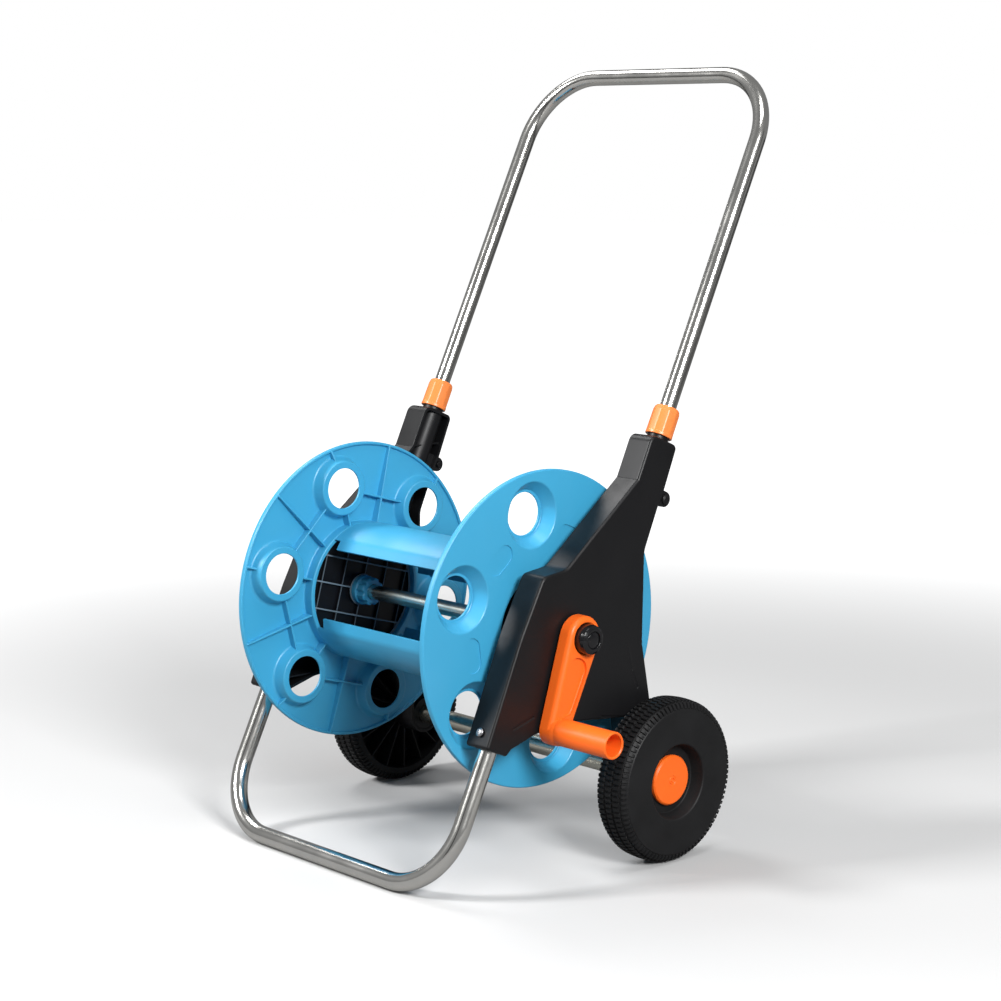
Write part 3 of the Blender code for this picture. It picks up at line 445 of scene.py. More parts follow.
def polish(mesh):
    """Merge flat neighbours, mark the sharp edges and even out the shading."""
    bm = bmesh.new()
    bm.from_mesh(mesh)
    bmesh.ops.remove_doubles(bm, verts=bm.verts, dist=MERGE)
    bmesh.ops.dissolve_degenerate(bm, edges=bm.edges, dist=MERGE)
    bmesh.ops.dissolve_limit(bm, angle_limit=FLAT_ANGLE, verts=bm.verts, edges=bm.edges)
    bm.to_mesh(mesh)
    bm.free()
    mesh.shade_smooth()
    mesh.set_sharp_from_angle(angle=SMOOTH_ANGLE)


def place(obj, name, body, look, at=Vector((0, 0, 0))):
    """Finish a solid as a named piece that stands for its CAD node and rides on its body."""
    material, slot = look
    polish(obj.data)
    obj.data.transform(Matrix.Scale(MM, 4) @ Matrix.Translation(ORIGIN + at))
    even = obj.modifiers.new("even", "WEIGHTED_NORMAL")
    even.keep_sharp = True
    settle(obj)
    obj.name = "look_" + name
    obj.data.name = obj.name
    obj.data.materials.clear()
    obj.data.materials.append(material)
    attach(obj, body)
    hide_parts(name)
    return obj


# -------- materials

def fill(tree, node, inputs):
    """Set a node's inputs, or link those that are given as another node's output."""
    for name, value in inputs.items():
        if isinstance(value, bpy.types.NodeSocket):
            tree.links.new(value, node.inputs[name])
        else:
            node.inputs[name].default_value = value
    return node


def add_node(tree, kind, inputs):
    return fill(tree, tree.nodes.new(kind), inputs)


def new_material(name):
    material = bpy.data.materials.new(name)
    material.use_nodes = True
    tree = material.node_tree
    shader = tree.nodes["Principled BSDF"]
    coordinates = tree.nodes.new("ShaderNodeTexCoord")
    return material, tree, shader, coordinates.outputs["Object"]


def noise(tree, vector, scale, detail=3.0, stretch=None):
    if stretch:
        mapping = add_node(tree, "ShaderNodeMapping", {"Scale": stretch, "Vector": vector})
        vector = mapping.outputs["Vector"]
    node = add_node(tree, "ShaderNodeTexNoise",
                    {"Scale": scale, "Detail": detail, "Vector": vector})
    return node.outputs["Fac"]


def map_range(tree, value, start, end, low, high):
    """A value's range start..end mapped to low..high."""
    return add_node(tree, "ShaderNodeMapRange",
                    {"Value": value, "From Min": start, "From Max": end,
                     "To Min": low, "To Max": high})


def spread(tree, value, low, high):
    """A noise's middle range mapped to low..high."""
    return map_range(tree, value, *NOISE_RANGE, low, high).outputs["Result"]


def tint(tree, value, dark, light):
    """A noise's middle range mapped to colours."""
    node = add_node(tree, "ShaderNodeValToRGB", {"Fac": value})
    for element, position, colour in zip(node.color_ramp.elements, NOISE_RANGE, (dark, light)):
        element.position = position
        element.color = (*colour, 1)
    return node.outputs["Color"]


def bump(tree, shader, height, distance, strength, under=None):
    node = add_node(tree, "ShaderNodeBump",
                    {"Distance": distance, "Strength": strength, "Height": height})
    if under:
        tree.links.new(under, node.inputs["Normal"])
    tree.links.new(node.outputs["Normal"], shader.inputs["Normal"])
    return node.outputs["Normal"]


def moulded(name, colour, roughness, grain=0.10, spread_by=0.06, glow=0.0, specular=0.5):
    """Moulded plastic: slight colour drift, flow marks in the gloss and a fine satin grain."""
    material, tree, shader, place_in = new_material(name)
    drift = noise(tree, place_in, 9.0, 4.0)
    dark = [value * (1 - spread_by) for value in colour]
    light = [min(1.0, value * (1 + spread_by)) for value in colour]
    flow = noise(tree, place_in, 45.0, 5.0, (1, 1, 0.4))
    fill(tree, shader, {"Base Color": tint(tree, drift, dark, light),
                        "Roughness": spread(tree, flow, roughness - 0.05, roughness + 0.06),
                        "Specular IOR Level": specular})
    waves = bump(tree, shader, noise(tree, place_in, 60.0, 1.0), 0.0004, 0.12)
    bump(tree, shader, noise(tree, place_in, 1600.0, 2.0), 0.0001, grain, waves)
    if glow:
        fill(tree, shader, {"Subsurface Weight": glow, "Subsurface Radius": (1.0, 0.5, 0.3),
                            "Subsurface Scale": 0.002})
    return material


def painted_rib_highlight(material, distance, colour):
    """Paint a lighter colour onto what lies as near the middle plane as the tops of the ribs: a
    painted highlight for the light that their rounded edges catch.
    """
    tree = material.node_tree
    shader = tree.nodes["Principled BSDF"]
    under = shader.inputs["Base Color"].links[0].from_socket
    coordinates = tree.nodes.new("ShaderNodeTexCoord")
    axes = add_node(tree, "ShaderNodeSeparateXYZ", {"Vector": coordinates.outputs["Object"]})
    value = axes.outputs["X"]
    for operation, number in (("SUBTRACT", ORIGIN.x * MM), ("ABSOLUTE", 0.0)):
        step = add_node(tree, "ShaderNodeMath", {0: value, 1: number})
        step.operation = operation
        value = step.outputs["Value"]
    top = map_range(tree, value, (distance + 0.9) * MM, (distance + 0.35) * MM, 0.0, 1.0)
    mix = tree.nodes.new("ShaderNodeMix")
    mix.data_type = "RGBA"
    fill(tree, mix, {"Factor": top.outputs["Result"], 6: under, 7: (*colour, 1)})
    tree.links.new(mix.outputs[2], shader.inputs["Base Color"])
    return material


def rubber(name, colour, specular):
    """Hard tyre plastic: matt, dusty in patches, with a coarse moulded grain."""
    material, tree, shader, place_in = new_material(name)
    dust = noise(tree, place_in, 35.0, 6.0)
    light = [value * 1.5 for value in colour]
    fill(tree, shader, {"Base Color": tint(tree, dust, colour, light),
                        "Roughness": spread(tree, dust, 0.48, 0.62),
                        "Specular IOR Level": specular})
    rough = bump(tree, shader, noise(tree, place_in, 220.0, 2.0), 0.0003, 0.15)
    bump(tree, shader, noise(tree, place_in, 1300.0, 2.0), 0.00015, 0.25, rough)
    return material


def steel(name, colour, roughness, stretch):
    """Polished tube or plated steel with fine drawing lines and faint smudges."""
    material, tree, shader, place_in = new_material(name)
    smudge = noise(tree, place_in, 30.0, 5.0)
    light = [min(1.0, value * 1.08) for value in colour]
    fill(tree, shader, {"Metallic": 1.0, "Base Color": tint(tree, smudge, colour, light),
                        "Roughness": spread(tree, smudge, roughness - 0.03, roughness + 0.05)})
    bump(tree, shader, noise(tree, place_in, 700.0, 3.0, stretch), 0.00005, 0.12)
    return material


BLUE = (moulded("blue_moulding", (0.046, 0.345, 0.58), 0.38, 0.08, 0.03, 0.02, 0.6),
        "blue_plastic")
ORANGE = (moulded("orange_moulding", (0.97, 0.150, 0.014), 0.36, 0.06, 0.03, 0.05, 0.35),
          "orange_plastic")
# The collars take a lighter, yellower copy of the orange: a painted highlight for the strong light
# that falls on them.
COLLAR_ORANGE_PAINTED_LIGHTER = (moulded("collar_orange_painted_lighter", (0.90, 0.24, 0.055), 0.33, 0.06, 0.03, 0.05),
                 "orange_plastic")
BLACK = (moulded("black_moulding", (0.0060, 0.0060, 0.0068), 0.42, 0.22, 0.10, 0.0, 0.34),
         "black_plastic")
GLOSS_BLACK = (moulded("gloss_black_moulding", (0.007, 0.007, 0.008), 0.16, 0.02, 0.08),
               "black_plastic")
GLOSS_STEEL = (GLOSS_BLACK[0], "zinc_steel")     # a blackened screw
# The hub plates' rib tops get a painted highlight in blue-grey.
HUB_BLACK = (painted_rib_highlight(
    moulded("hub_black_moulding", (0.0045, 0.005, 0.007), 0.34, 0.06, 0.10, 0.0, 0.25),
    HUB_PLATE_INSIDE, (0.16, 0.22, 0.27)), "black_plastic")
TYRE = (rubber("tyre_moulding", (0.0070, 0.0070, 0.0075), 0.28), "wheel_rubber")
TUBE_STEEL = (steel("tube_steel", (0.84, 0.825, 0.785), 0.16, (1.0, 0.05, 0.05)),
              "bright_steel")
SHAFT_STEEL = (steel("shaft_steel", (0.74, 0.72, 0.62), 0.24, (0.05, 1.0, 1.0)),
               "bright_steel")
ZINC = (steel("zinc_plating", (0.42, 0.42, 0.43), 0.34, (1.0, 1.0, 1.0)), "zinc_steel")


# -------- reel

def radial_frame(angle, x):
    """A frame in a plane through the reel's axis: local X outwards, local Y towards mid-reel."""
    outwards = Vector((0, math.cos(angle), math.sin(angle)))
    inwards = Vector((-1, 0, 0))
    across = outwards.cross(inwards)
    rotation = Matrix((outwards, inwards, across)).transposed().to_4x4()
    return Matrix.Translation((x, 0, 0)) @ rotation


def tapered_rib(start, end, start_height, end_height, angle, wall=2.0):
    """A radial rib on a flange's inner side, its top edges rounded."""
    low = -PLATE / 2
    corners = [(start, low, 0), (end, low, 0), (end, end_height, 0), (start, start_height, 0)]
    return pillow(lambda inset: rounded(inset_corners(corners, inset)), -wall / 2, wall / 2,
                  0.7, 0.7, radial_frame(angle, FLANGE_OUTSIDE - PLATE))


def cross_rib(angle):
    """A straight rib from one hole's cup to the next."""
    half = HOLE_PITCH * math.sin(math.pi / HOLES) - CUP_TOP + 1
    centre = polar(HOLE_PITCH * math.cos(math.pi / HOLES), angle)
    height = 8.4
    matrix = side_frame(FLANGE_OUTSIDE - PLATE - height / 2 + 0.8, *centre)
    return box_solid((2.0, 2 * half, height), matrix @ Matrix.Rotation(angle, 4, "Z"), 0.7)


def hole_cup(matrix, depth):
    """The raised cup round a dished hole, flared at its foot."""
    return lathe([(0, depth, 0), (CUP_TOP, depth, 1.7), (CUP_FOOT, 4.0, 2.5),
                  (CUP_SKIRT, 2.2, 0), (CUP_SKIRT, 1.2, 0), (0, 1.2, 0)], matrix)


def hole_cutter(matrix, depth):
    """What is cut away for a dished hole, with a rounded lip at its mouth."""
    lip = 2.4
    profile = [(0, -3), (MOUTH + lip, -3)]
    for i in range(6):
        a = math.radians(15 * i)
        profile.append((MOUTH + lip - lip * math.sin(a), lip * (1 - math.cos(a)) - 0.03))
    ledge = 2.4
    profile += [(THROAT + 3.4, depth - ledge - 1.6), (THROAT + 2.9, depth - ledge - 0.4),
                (THROAT + 2.3, depth - ledge), (THROAT + 0.7, depth - ledge),
                (THROAT + 0.2, depth - ledge + 0.2), (THROAT, depth - ledge + 0.7),
                (THROAT, depth - 0.8), (THROAT + 0.25, depth - 0.25),
                (THROAT + 0.8, depth + 0.02), (THROAT + 0.8, depth + 3), (0, depth + 3)]
    return revolve(profile, matrix, turn_angles(ROUND))


def make_flange(clocking):
    depth = FLANGE_OUTSIDE - FLANGE_INSIDE
    inner, outer = DRUM_RING
    inward = axis_frame((FLANGE_OUTSIDE, 0, 0), (-1, 0, 0))
    wall = FLANGE_RADIUS - RIM_WALL
    flange = lathe([(FLANGE_RADIUS, RIM_DEPTH, 1.3), (FLANGE_RADIUS, 0, 1.6),
                    (FLANGE_LIP, 0, 0.8), (FLANGE_LIP, PLATE, 0.6), (inner, PLATE, 0.8),
                    (inner, depth, 0.9), (outer, depth, 1.2), (outer, PLATE, 1.4),
                    (wall, PLATE, 1.3), (wall, RIM_DEPTH, 1.1)], inward, FINE)
    cutters = []
    for i in range(HOLES):
        angle = clocking + math.tau * i / HOLES
        between = angle + math.pi / HOLES
        centre = polar(HOLE_PITCH, angle)
        at = axis_frame((FLANGE_OUTSIDE, *centre), (-1, 0, 0))
        join(flange, hole_cup(at, depth),
             tapered_rib(HOLE_PITCH + THROAT + 2, wall + 1.4, 9, 4, angle),
             tapered_rib(outer - 1, HOLE_PITCH - THROAT - 2, 9.5, 9.5, angle),
             tapered_rib(outer - 1, wall + 1.4, 9.2, 4, between), cross_rib(between))
        cutters.append(hole_cutter(at, depth))
        pad = polar(PAD_PITCH, between)
        along = polar(PAD_REACH, between + math.pi / 2)
        cutters.append(pillow(
            lambda inset: slot_outline(pad - along, PAD_RADIUS * 1.001 - inset, pad + along,
                                       PAD_RADIUS - inset),
            FLANGE_OUTSIDE - PAD_DEPTH, FLANGE_OUTSIDE + 1, 0.3, 0))
    return cut(flange, *cutters)


def make_hub_plate(bore, tilt):
    """The ribbed disc that closes a flange's middle."""
    depth = HUB_PLATE_OUTSIDE - HUB_PLATE_INSIDE
    radius, floor, boss = HUB_PLATE_RADIUS, 2.4, 16.0
    inward = axis_frame((HUB_PLATE_OUTSIDE, 0, 0), (-1, 0, 0))
    plate = lathe([(radius, depth, 0.5), (radius, 0, 0.4), (bore, 0, 0.3), (bore, depth, 0.3),
                   (boss, depth, 0.5), (boss, floor, 0.6), (radius - 2.5, floor, 0.6),
                   (radius - 2.5, depth, 0.5)], inward, FINE)
    for quarter in (0, 1):
        turn = Matrix.Rotation(math.radians(tilt + 90 * quarter), 4, "Z")
        top = depth - 0.3 - 0.3 * quarter
        for i in range(-2, 3):
            off = i * HUB_RIB_PITCH
            length = 2 * math.sqrt((radius - 1.2) ** 2 - off ** 2)
            at = Matrix.Translation((0, off, (top + 1) / 2))
            join(plate, box_solid((length, 1.9, top - 1), inward @ turn @ at, 0.85))
    return cut(plate, rod(bore, -3, depth + 3, inward))


def make_hub_nut(bore):
    """The union nut where the shaft leaves a hub plate: a round foot and a fluted grip."""
    length = HUB_NUT_OUTSIDE - HUB_NUT_INSIDE
    inward = axis_frame((HUB_NUT_OUTSIDE, 0, 0), (-1, 0, 0))
    foot = 5.4
    profile = rounded([(bore, 0, 0.2), (15.0, 0, 0.5), (15.0, foot, 1.2), (13.2, foot + 1.6, 0.4),
                       (14.2, foot + 2.6, 0.6), (14.0, length - 0.4, 1.6), (11.5, length, 0.4),
                       (bore, length, 0.4)])
    angles = turn_angles(120)

    def carve(i, j, radius, height):
        if height < foot + 1.2 or radius < 12.5:
            return radius, height
        groove = max(0.0, math.cos(NUT_FLUTES * angles[j])) ** 0.6
        return radius - FLUTE_DEPTH * groove, height
    return revolve(profile, inward, angles, carve)


def shell_edge(angle, turn):
    """Where a drum shell's curve ends, which way its flat strip runs on and what it faces."""
    facing = angle + turn * SHELL_BEND
    return polar(DRUM_RING[1], angle), polar(1, facing + turn * math.pi / 2), polar(1, facing)


def shell_strip(angle, turn):
    """The outline's corners at one long edge of a drum shell, from its outside to its inside."""
    start, along, facing = shell_edge(angle, turn)
    tip = start + along * SHELL_STRIP
    mitre = (polar(1, angle) + facing).normalized() / math.cos(SHELL_BEND / 2)
    return [(*start, 14), (*tip, 0), (*(tip - facing * SHELL_WALL), 0),
            (*(start - mitre * SHELL_WALL), 11)]


def make_shell(middle_angle, half):
    """One curved shell of the drum, bent in softly to a flat strip along each long edge."""
    low, high, trim = middle_angle - half, middle_angle + half, math.radians(6)
    outer, inner = DRUM_RING[1], DRUM_RING[1] - SHELL_WALL
    corners = [(*point, 0) for point in arc(outer, low + trim, high - trim, 60)]
    corners += shell_strip(high, 1)
    corners += [(*point, 0) for point in arc(inner, high - trim, low + trim, 60)]
    corners += shell_strip(low, -1)[::-1]
    outline = rounded(corners, steps=8)
    shell = skin([[(*p, x) for p in outline] for x in (-SHELL_END, SHELL_END)],
                 side_frame(0), caps=True)
    for angle, turn in ((high, 1), (low, -1)):
        start, along, _ = shell_edge(angle, turn)
        centre = start + along * (SHELL_STRIP + 1.5)
        heading = Matrix.Rotation(math.atan2(along.y, along.x), 4, "Z")
        for side in (1, -1):
            cut(shell, box_solid((2 * SHELL_STRIP, 16, 2 * SHELL_NOTCH),
                                 side_frame(side * SHELL_END, *centre) @ heading))
    rounding = shell.modifiers.new("rounding", "BEVEL")
    rounding.width = 0.7
    rounding.segments = 3
    rounding.limit_method = "ANGLE"
    rounding.angle_limit = math.radians(50)
    return settle(shell)


def build_reel():
    for label, clocking, bore, tilt in (("left", LEFT_CLOCKING, INLET_RADIUS + GAP, 15),
                                        ("right", RIGHT_CLOCKING, SHAFT_RADIUS + GAP, -15)):
        pieces = [("flange", make_flange(clocking), BLUE),
                  ("hub_plate", make_hub_plate(bore, tilt), HUB_BLACK),
                  ("hub_nut", make_hub_nut(SHAFT_RADIUS + GAP), BLUE)]
        for part, solid, look in pieces:
            if label == "left":
                moved(solid, MIRROR)
            place(solid, f"{label}_{part}", "reel", look, REEL_AXIS)
    for name, (middle_angle, half) in DRUM_SHELLS.items():
        shell = make_shell(math.radians(middle_angle), math.radians(half))
        place(shell, name, "reel", BLUE, REEL_AXIS)
    inner = SHAFT_RADIUS - SHAFT_WALL
    shaft = sleeve(SHAFT_RADIUS, inner, SHAFT_START, SHAFT_END)
    place(shaft, "reel_shaft", "reel", SHAFT_STEEL, REEL_AXIS)
    plug = lathe([(2.8, SHAFT_END, 0.2), (inner - GAP, SHAFT_END, 0.4),
                  (inner - GAP, SHAFT_END - 24, 0.4), (2.8, SHAFT_END - 24, 0.2)])
    place(plug, "shaft_end_plug", "reel", BLACK, REEL_AXIS)


# -------- crank

def make_crank_arm():
    hub = Vector((0, 0))
    along = CRANK_TIP.normalized()
    arm = pillow(lambda inset: slot_outline(hub, ARM_HUB - inset, CRANK_TIP, ARM_TIP - inset),
                 ARM_INSIDE, ARM_OUTSIDE, 1.2, 5.0)
    at_tip = axis_frame((0, *CRANK_TIP), (1, 0, 0))
    grip = lathe([(0, GRIP_END, 0), (GRIP_RADIUS, GRIP_END, 1.1),
                  (GRIP_RADIUS + 0.1, ARM_OUTSIDE + 2.4, 1.8), (13.6, ARM_OUTSIDE - 1.2, 0),
                  (13.0, ARM_INSIDE + 2, 0), (0, ARM_INSIDE + 2, 0)], at_tip)
    bore = lathe([(0, GRIP_END + 5, 0), (GRIP_BORE + 0.9, GRIP_END + 5, 0),
                  (GRIP_BORE + 0.9, GRIP_END, 0), (GRIP_BORE, GRIP_END - 0.9, 0),
                  (GRIP_BORE - 0.4, ARM_OUTSIDE - 5, 1.0), (0, ARM_OUTSIDE - 5, 0)], at_tip)
    pocket_start, pocket_end = along * 31, CRANK_TIP - along * 24
    pocket = pillow(lambda inset: slot_outline(pocket_start, 12.5 - inset,
                                               pocket_end, 9.5 - inset),
                    ARM_OUTSIDE - 3, ARM_OUTSIDE + 2, 1.2, 0)
    seat = lathe([(0, ARM_OUTSIDE + 9, 0), (KNOB_RADIUS + 1.8, ARM_OUTSIDE + 9, 0),
                  (KNOB_RADIUS + 1.6, ARM_OUTSIDE + 0.02, 0),
                  (KNOB_RADIUS + 0.6, ARM_OUTSIDE - 1, 0),
                  (KNOB_RADIUS + 0.6, KNOB_SEAT - GAP, 0), (0, KNOB_SEAT - GAP, 0)])
    return cut(join(arm, grip), bore, pocket, seat,
               rod(SHAFT_RADIUS + GAP, ARM_INSIDE - 5, KNOB_SEAT, OUTWARD))


def build_crank():
    place(make_crank_arm(), "crank_arm", "reel", ORANGE, REEL_AXIS)
    recess, bore = KNOB_FACE - 2, 2.8
    knob = lathe([(bore, recess, 0), (8, recess, 0.5), (8.3, KNOB_FACE, 0.6),
                  (10.6, KNOB_FACE, 1.0), (13.2, KNOB_FACE - 1.6, 1.2),
                  (KNOB_RADIUS, KNOB_FACE - 5, 1.0), (KNOB_RADIUS, KNOB_SEAT, 0.3),
                  (bore, KNOB_SEAT, 0)])
    place(knob, "crank_knob", "reel", GLOSS_BLACK, REEL_AXIS)
    head = recess + GAP
    screw = lathe([(0, head + 2.2, 0), (4.6, head + 1.8, 2.0), (7.4, head + 0.7, 0.5),
                   (7.4, head, 0.1), (2.5, head, 0), (2.5, head - 33, 0.3),
                   (1.2, head - 35, 0.2), (0, head - 35, 0)])
    place(screw, "crank_screw", "reel", GLOSS_STEEL, REEL_AXIS)


# -------- side panels

def tube_place(x, foot, distance):
    return Vector((x, foot.x, foot.y)) + UP_TUBE * distance


SOCKET_FRAME = axis_frame(tube_place(TUBE_HALF_WIDTH, HANDLE_FOOT, 0), UP_TUBE)
LUG_FRAME = axis_frame((0, *LUG), (1, 0, 0))
# The screw goes through the panel's front wall and points into the foot tube.
SCREW_FRAME = axis_frame(tube_place(TUBE_HALF_WIDTH, FOOT_BAR, SCREW_HEIGHT) - LEAN_NORMAL * 24,
                         LEAN_NORMAL)


def panel_rib(start, end, low, high):
    centre, run = (Vector(start) + Vector(end)) / 2, Vector(end) - Vector(start)
    turn = Matrix.Rotation(math.atan2(run.y, run.x), 4, "Z")
    return box_solid((run.length, 2.0, high - low),
                     side_frame((low + high) / 2, *centre) @ turn, 0.35)


def panel_crease(start, end):
    """A cutter for a shallow round groove in a panel's outer face."""
    radius, depth = 3.0, 0.6
    run = Vector(end) - Vector(start)
    at = axis_frame((PANEL_OUTSIDE + radius - depth, *start), (0, *run))
    return rod(radius, 0, run.length, at, SMALL, 0.6)


def panel_outline(inset):
    return rounded(inset_corners(PANEL_OUTLINE, inset), steps=5)


def outline_slab(inset, low, high):
    outline = panel_outline(inset)
    return skin([[(*p, h) for p in outline] for h in (low, high)], side_frame(0), caps=True)


def make_panel():
    """The right side panel: a hollow shell with sockets, bosses and stiffening ribs."""
    shell = pillow(panel_outline, PANEL_INSIDE, PANEL_OUTSIDE, 0.5, EDGE_ROUND)
    cut(shell, outline_slab(SKIN, PANEL_INSIDE - 5, PANEL_OUTSIDE - SKIN))
    for i, (start, end) in enumerate(PANEL_RIBS):
        rib = panel_rib(start, end, PANEL_INSIDE + 2 + 0.3 * i, PANEL_OUTSIDE - 1.2 - 0.1 * i)
        join(shell, clip(rib, outline_slab(1, PANEL_INSIDE - 5, PANEL_OUTSIDE + 5)))
    foot = axis_frame(tube_place(TUBE_HALF_WIDTH, FOOT_BAR, 0), UP_TUBE)
    axle = axis_frame(WHEEL_AXIS, (1, 0, 0))
    reel = axis_frame(REEL_AXIS, (1, 0, 0))
    lug_root = LUG - Vector((14, -6))
    join(shell,
         rod(SOCKET_RADIUS, -SOCKET_DEPTH, SOCKET_TOP - 2, SOCKET_FRAME, ROUND, 1.0),
         rod(NECK_RADIUS, SOCKET_TOP - 4, SOCKET_TOP + NECK_HEIGHT, SOCKET_FRAME, ROUND, 0.5),
         rod(REEL_BOSS, PANEL_INSIDE + 0.5, PANEL_OUTSIDE - 0.9, reel, ROUND, 0.5),
         rod(AXLE_BOSS, PANEL_INSIDE + 0.7, PANEL_OUTSIDE - 0.8, axle, ROUND, 0.5),
         pillow(lambda inset: slot_outline(lug_root, LUG_RADIUS * 1.001 - inset, LUG,
                                           LUG_RADIUS - inset),
                PANEL_INSIDE + 5, PANEL_OUTSIDE - 2, 0.8, 1.0))
    depth = HANDLE_ENGAGED + HANDLE_TRAVEL + 8
    return cut(shell,
               rod(HANDLE_RADIUS + GAP, -depth, 60, SOCKET_FRAME),
               rod(FOOT_RADIUS + GAP, 20, FOOT_LENGTH + GAP, foot),
               rod(REEL_BORE, *THROUGH, reel),
               rod(AXLE_RADIUS + GAP, *THROUGH, axle),
               rod(SCREW_HOLE, 0, 30, SCREW_FRAME, SMALL),
               rod(LUG_BORE, *THROUGH, LUG_FRAME, SMALL),
               *(panel_crease(start, end) for start, end in PANEL_CREASES))


def make_bearing(bore):
    """A flanged bush that carries the reel in a side panel."""
    sleeve, collar_out = REEL_BORE - GAP, PANEL_INSIDE - GAP
    collar_in, end = reach("right_reel_bearing")
    return lathe([(sleeve, end, 0.4), (sleeve, collar_out, 0.2), (17, collar_out, 0.6),
                  (17, collar_in, 0.8), (bore, collar_in, 0.3), (bore, end, 0.3)],
                 axis_frame(REEL_AXIS, (1, 0, 0)))


def make_lug_pin():
    seat = PANEL_OUTSIDE - 2 + GAP
    return lathe([(0, 174, 0), (3.2, 173.7, 0.8), (5, 172.6, 0.5), (5, seat, 0.2), (3, seat, 0),
                  (3, 147, 0.4), (0, 146.5, 0)], LUG_FRAME, SMALL)


def place_pair(solid, part, look, body="root", at=Vector((0, 0, 0))):
    """Place a right-hand solid and its mirrored twin."""
    for label, obj in (("right", solid), ("left", twin(solid))):
        place(obj, f"{label}_{part}", body.format(label=label), look, at)


def build_panels():
    right = make_panel()
    left = twin(right)
    cut(left, box_solid((12, LUG_SLOT, 30),
                        side_frame(-PANEL_OUTSIDE, LUG.x + LUG_RADIUS, LUG.y)))
    place(right, "right_panel", "root", BLACK)
    place(left, "left_panel", "root", BLACK)
    place_pair(make_lug_pin(), "lug_pin", BLACK)
    place(make_bearing(SHAFT_RADIUS + GAP), "right_reel_bearing", "root", BLACK)
    left = moved(make_bearing(INLET_RADIUS + GAP), MIRROR)
    place(left, "left_reel_bearing", "root", BLACK)


def build_inlet():
    """The water inlet on the reel's axis, its outer end threaded."""
    inside, outside = reach_left("water_inlet")
    lip, ridge, bore = PANEL_OUTSIDE + GAP, 1.6, 5.5
    corners = [(bore, inside, 0.2), (bore, outside, 0.3), (INLET_RADIUS + 0.6, outside, 0.4)]
    start = lip + 5
    pitch = (outside - start) / 5
    for i in range(5, 0, -1):
        base = start + pitch * (i - 1)
        corners += [(INLET_RADIUS + ridge, base + 0.62 * pitch, 0.25),
                    (INLET_RADIUS + ridge, base + 0.42 * pitch, 0.25),
                    (INLET_RADIUS + 0.6, base + 0.1 * pitch, 0.1)]
    corners += [(14, start, 0.8), (14, lip, 0.6), (INLET_RADIUS, lip, 0.3),
                (INLET_RADIUS, inside, 0.3)]
    inlet = lathe(corners, axis_frame(REEL_AXIS, (-1, 0, 0)))
    place(inlet, "water_inlet", "root", BLACK)


# -------- tube frames

def u_path(foot, low, high, bend, steps=20):
    """A U of tube in the leaning plane, from one open end round to the other."""
    half = TUBE_HALF_WIDTH
    corners = [tube_place(-half, foot, low), tube_place(-half, foot, high),
               tube_place(half, foot, high), tube_place(half, foot, low)]
    path = [corners[0]]
    path += fillet(corners[0], corners[1], corners[2], bend, steps)
    path += fillet(corners[1], corners[2], corners[3], bend, steps)
    return path + [corners[3]]


def build_foot():
    tube = bent_tube(u_path(FOOT_BAR, FOOT_LENGTH, 0, FOOT_BEND), LEAN_NORMAL,
                     FOOT_RADIUS, FOOT_WALL)
    hole = rod(SCREW_HOLE, 0, 22, SCREW_FRAME, SMALL)
    other = twin(hole)
    cut(tube, hole, other)
    place(tube, "foot_tube", "root", TUBE_STEEL)
    head = 6.9
    screw = lathe([(0, 20, 0), (2, 18.6, 0.4), (2, head, 0), (4, head, 0.2), (4, head - 1.2, 0.5),
                   (2.6, head - 2.4, 0.8), (0, head - 2.6, 0)], SCREW_FRAME, SMALL)
    for turn in (0, math.pi / 2):
        at = SCREW_FRAME @ Matrix.Rotation(turn, 4, "Z") @ Matrix.Translation((0, 0, head - 2.4))
        cut(screw, box_solid((3.6, 0.8, 1.6), at))
    place_pair(screw, "foot_screw", ZINC)


def build_handle():
    tube = bent_tube(u_path(HANDLE_FOOT, -HANDLE_ENGAGED, HANDLE_TOP, HANDLE_BEND), LEAN_NORMAL,
                     HANDLE_RADIUS, HANDLE_WALL)
    place(tube, "handle_tube", "handle", TUBE_STEEL)
    stub = HANDLE_RADIUS - HANDLE_WALL - GAP
    end = axis_frame(tube_place(TUBE_HALF_WIDTH, HANDLE_FOOT, -HANDLE_ENGAGED), UP_TUBE)
    plug = lathe([(0, 13, 0), (stub - 1, 13, 0.5), (stub, 11, 0.5), (stub, -GAP, 0),
                  (HANDLE_RADIUS, -GAP, 0.3), (HANDLE_RADIUS, -3, 0.8), (0, -4, 0)], end, SMALL)
    place_pair(plug, "tube_plug", BLACK, "handle")


def make_collar():
    """A twist collar: a smooth foot ring, a faceted grip and a rounded shoulder."""
    low, high = COLLAR_LOW, COLLAR_TOP
    corners = [(NECK_RADIUS + GAP, low, 0.3), (13.2, low, 0.6), (13.25, low + 2.6, 0.5),
               (12.9, low + 3.4, 0.3), (12.5, high - 4.6, 0.4), (11.9, high - 1.4, 1.4),
               (10.6, high, 1.0), (HANDLE_RADIUS + GAP, high, 0.4),
               (HANDLE_RADIUS + GAP, high - 4.6, 0.1), (NECK_RADIUS + GAP, high - 4.6, 0.1)]
    angles = turn_angles(COLLAR_FACETS * 12)
    half = math.pi / COLLAR_FACETS

    def carve(i, j, radius, height):
        grip = min(1.0, max(0.0, (height - low - 3.0) / 0.8), max(0.0, (high - 0.6 - height) / 3))
        if radius < NECK_RADIUS + 1 or grip == 0:
            return radius, height
        off = angles[j] % (2 * half) - half
        facet = math.cos(half) / math.cos(off)
        corner = math.cos(half * 0.62) if abs(off) > half * 0.9 else 1.0
        return radius * (1 + grip * (facet * 1.045 * (0.5 + 0.5 * corner) - 1)), height
    return revolve(rounded(corners), SOCKET_FRAME, angles, carve)


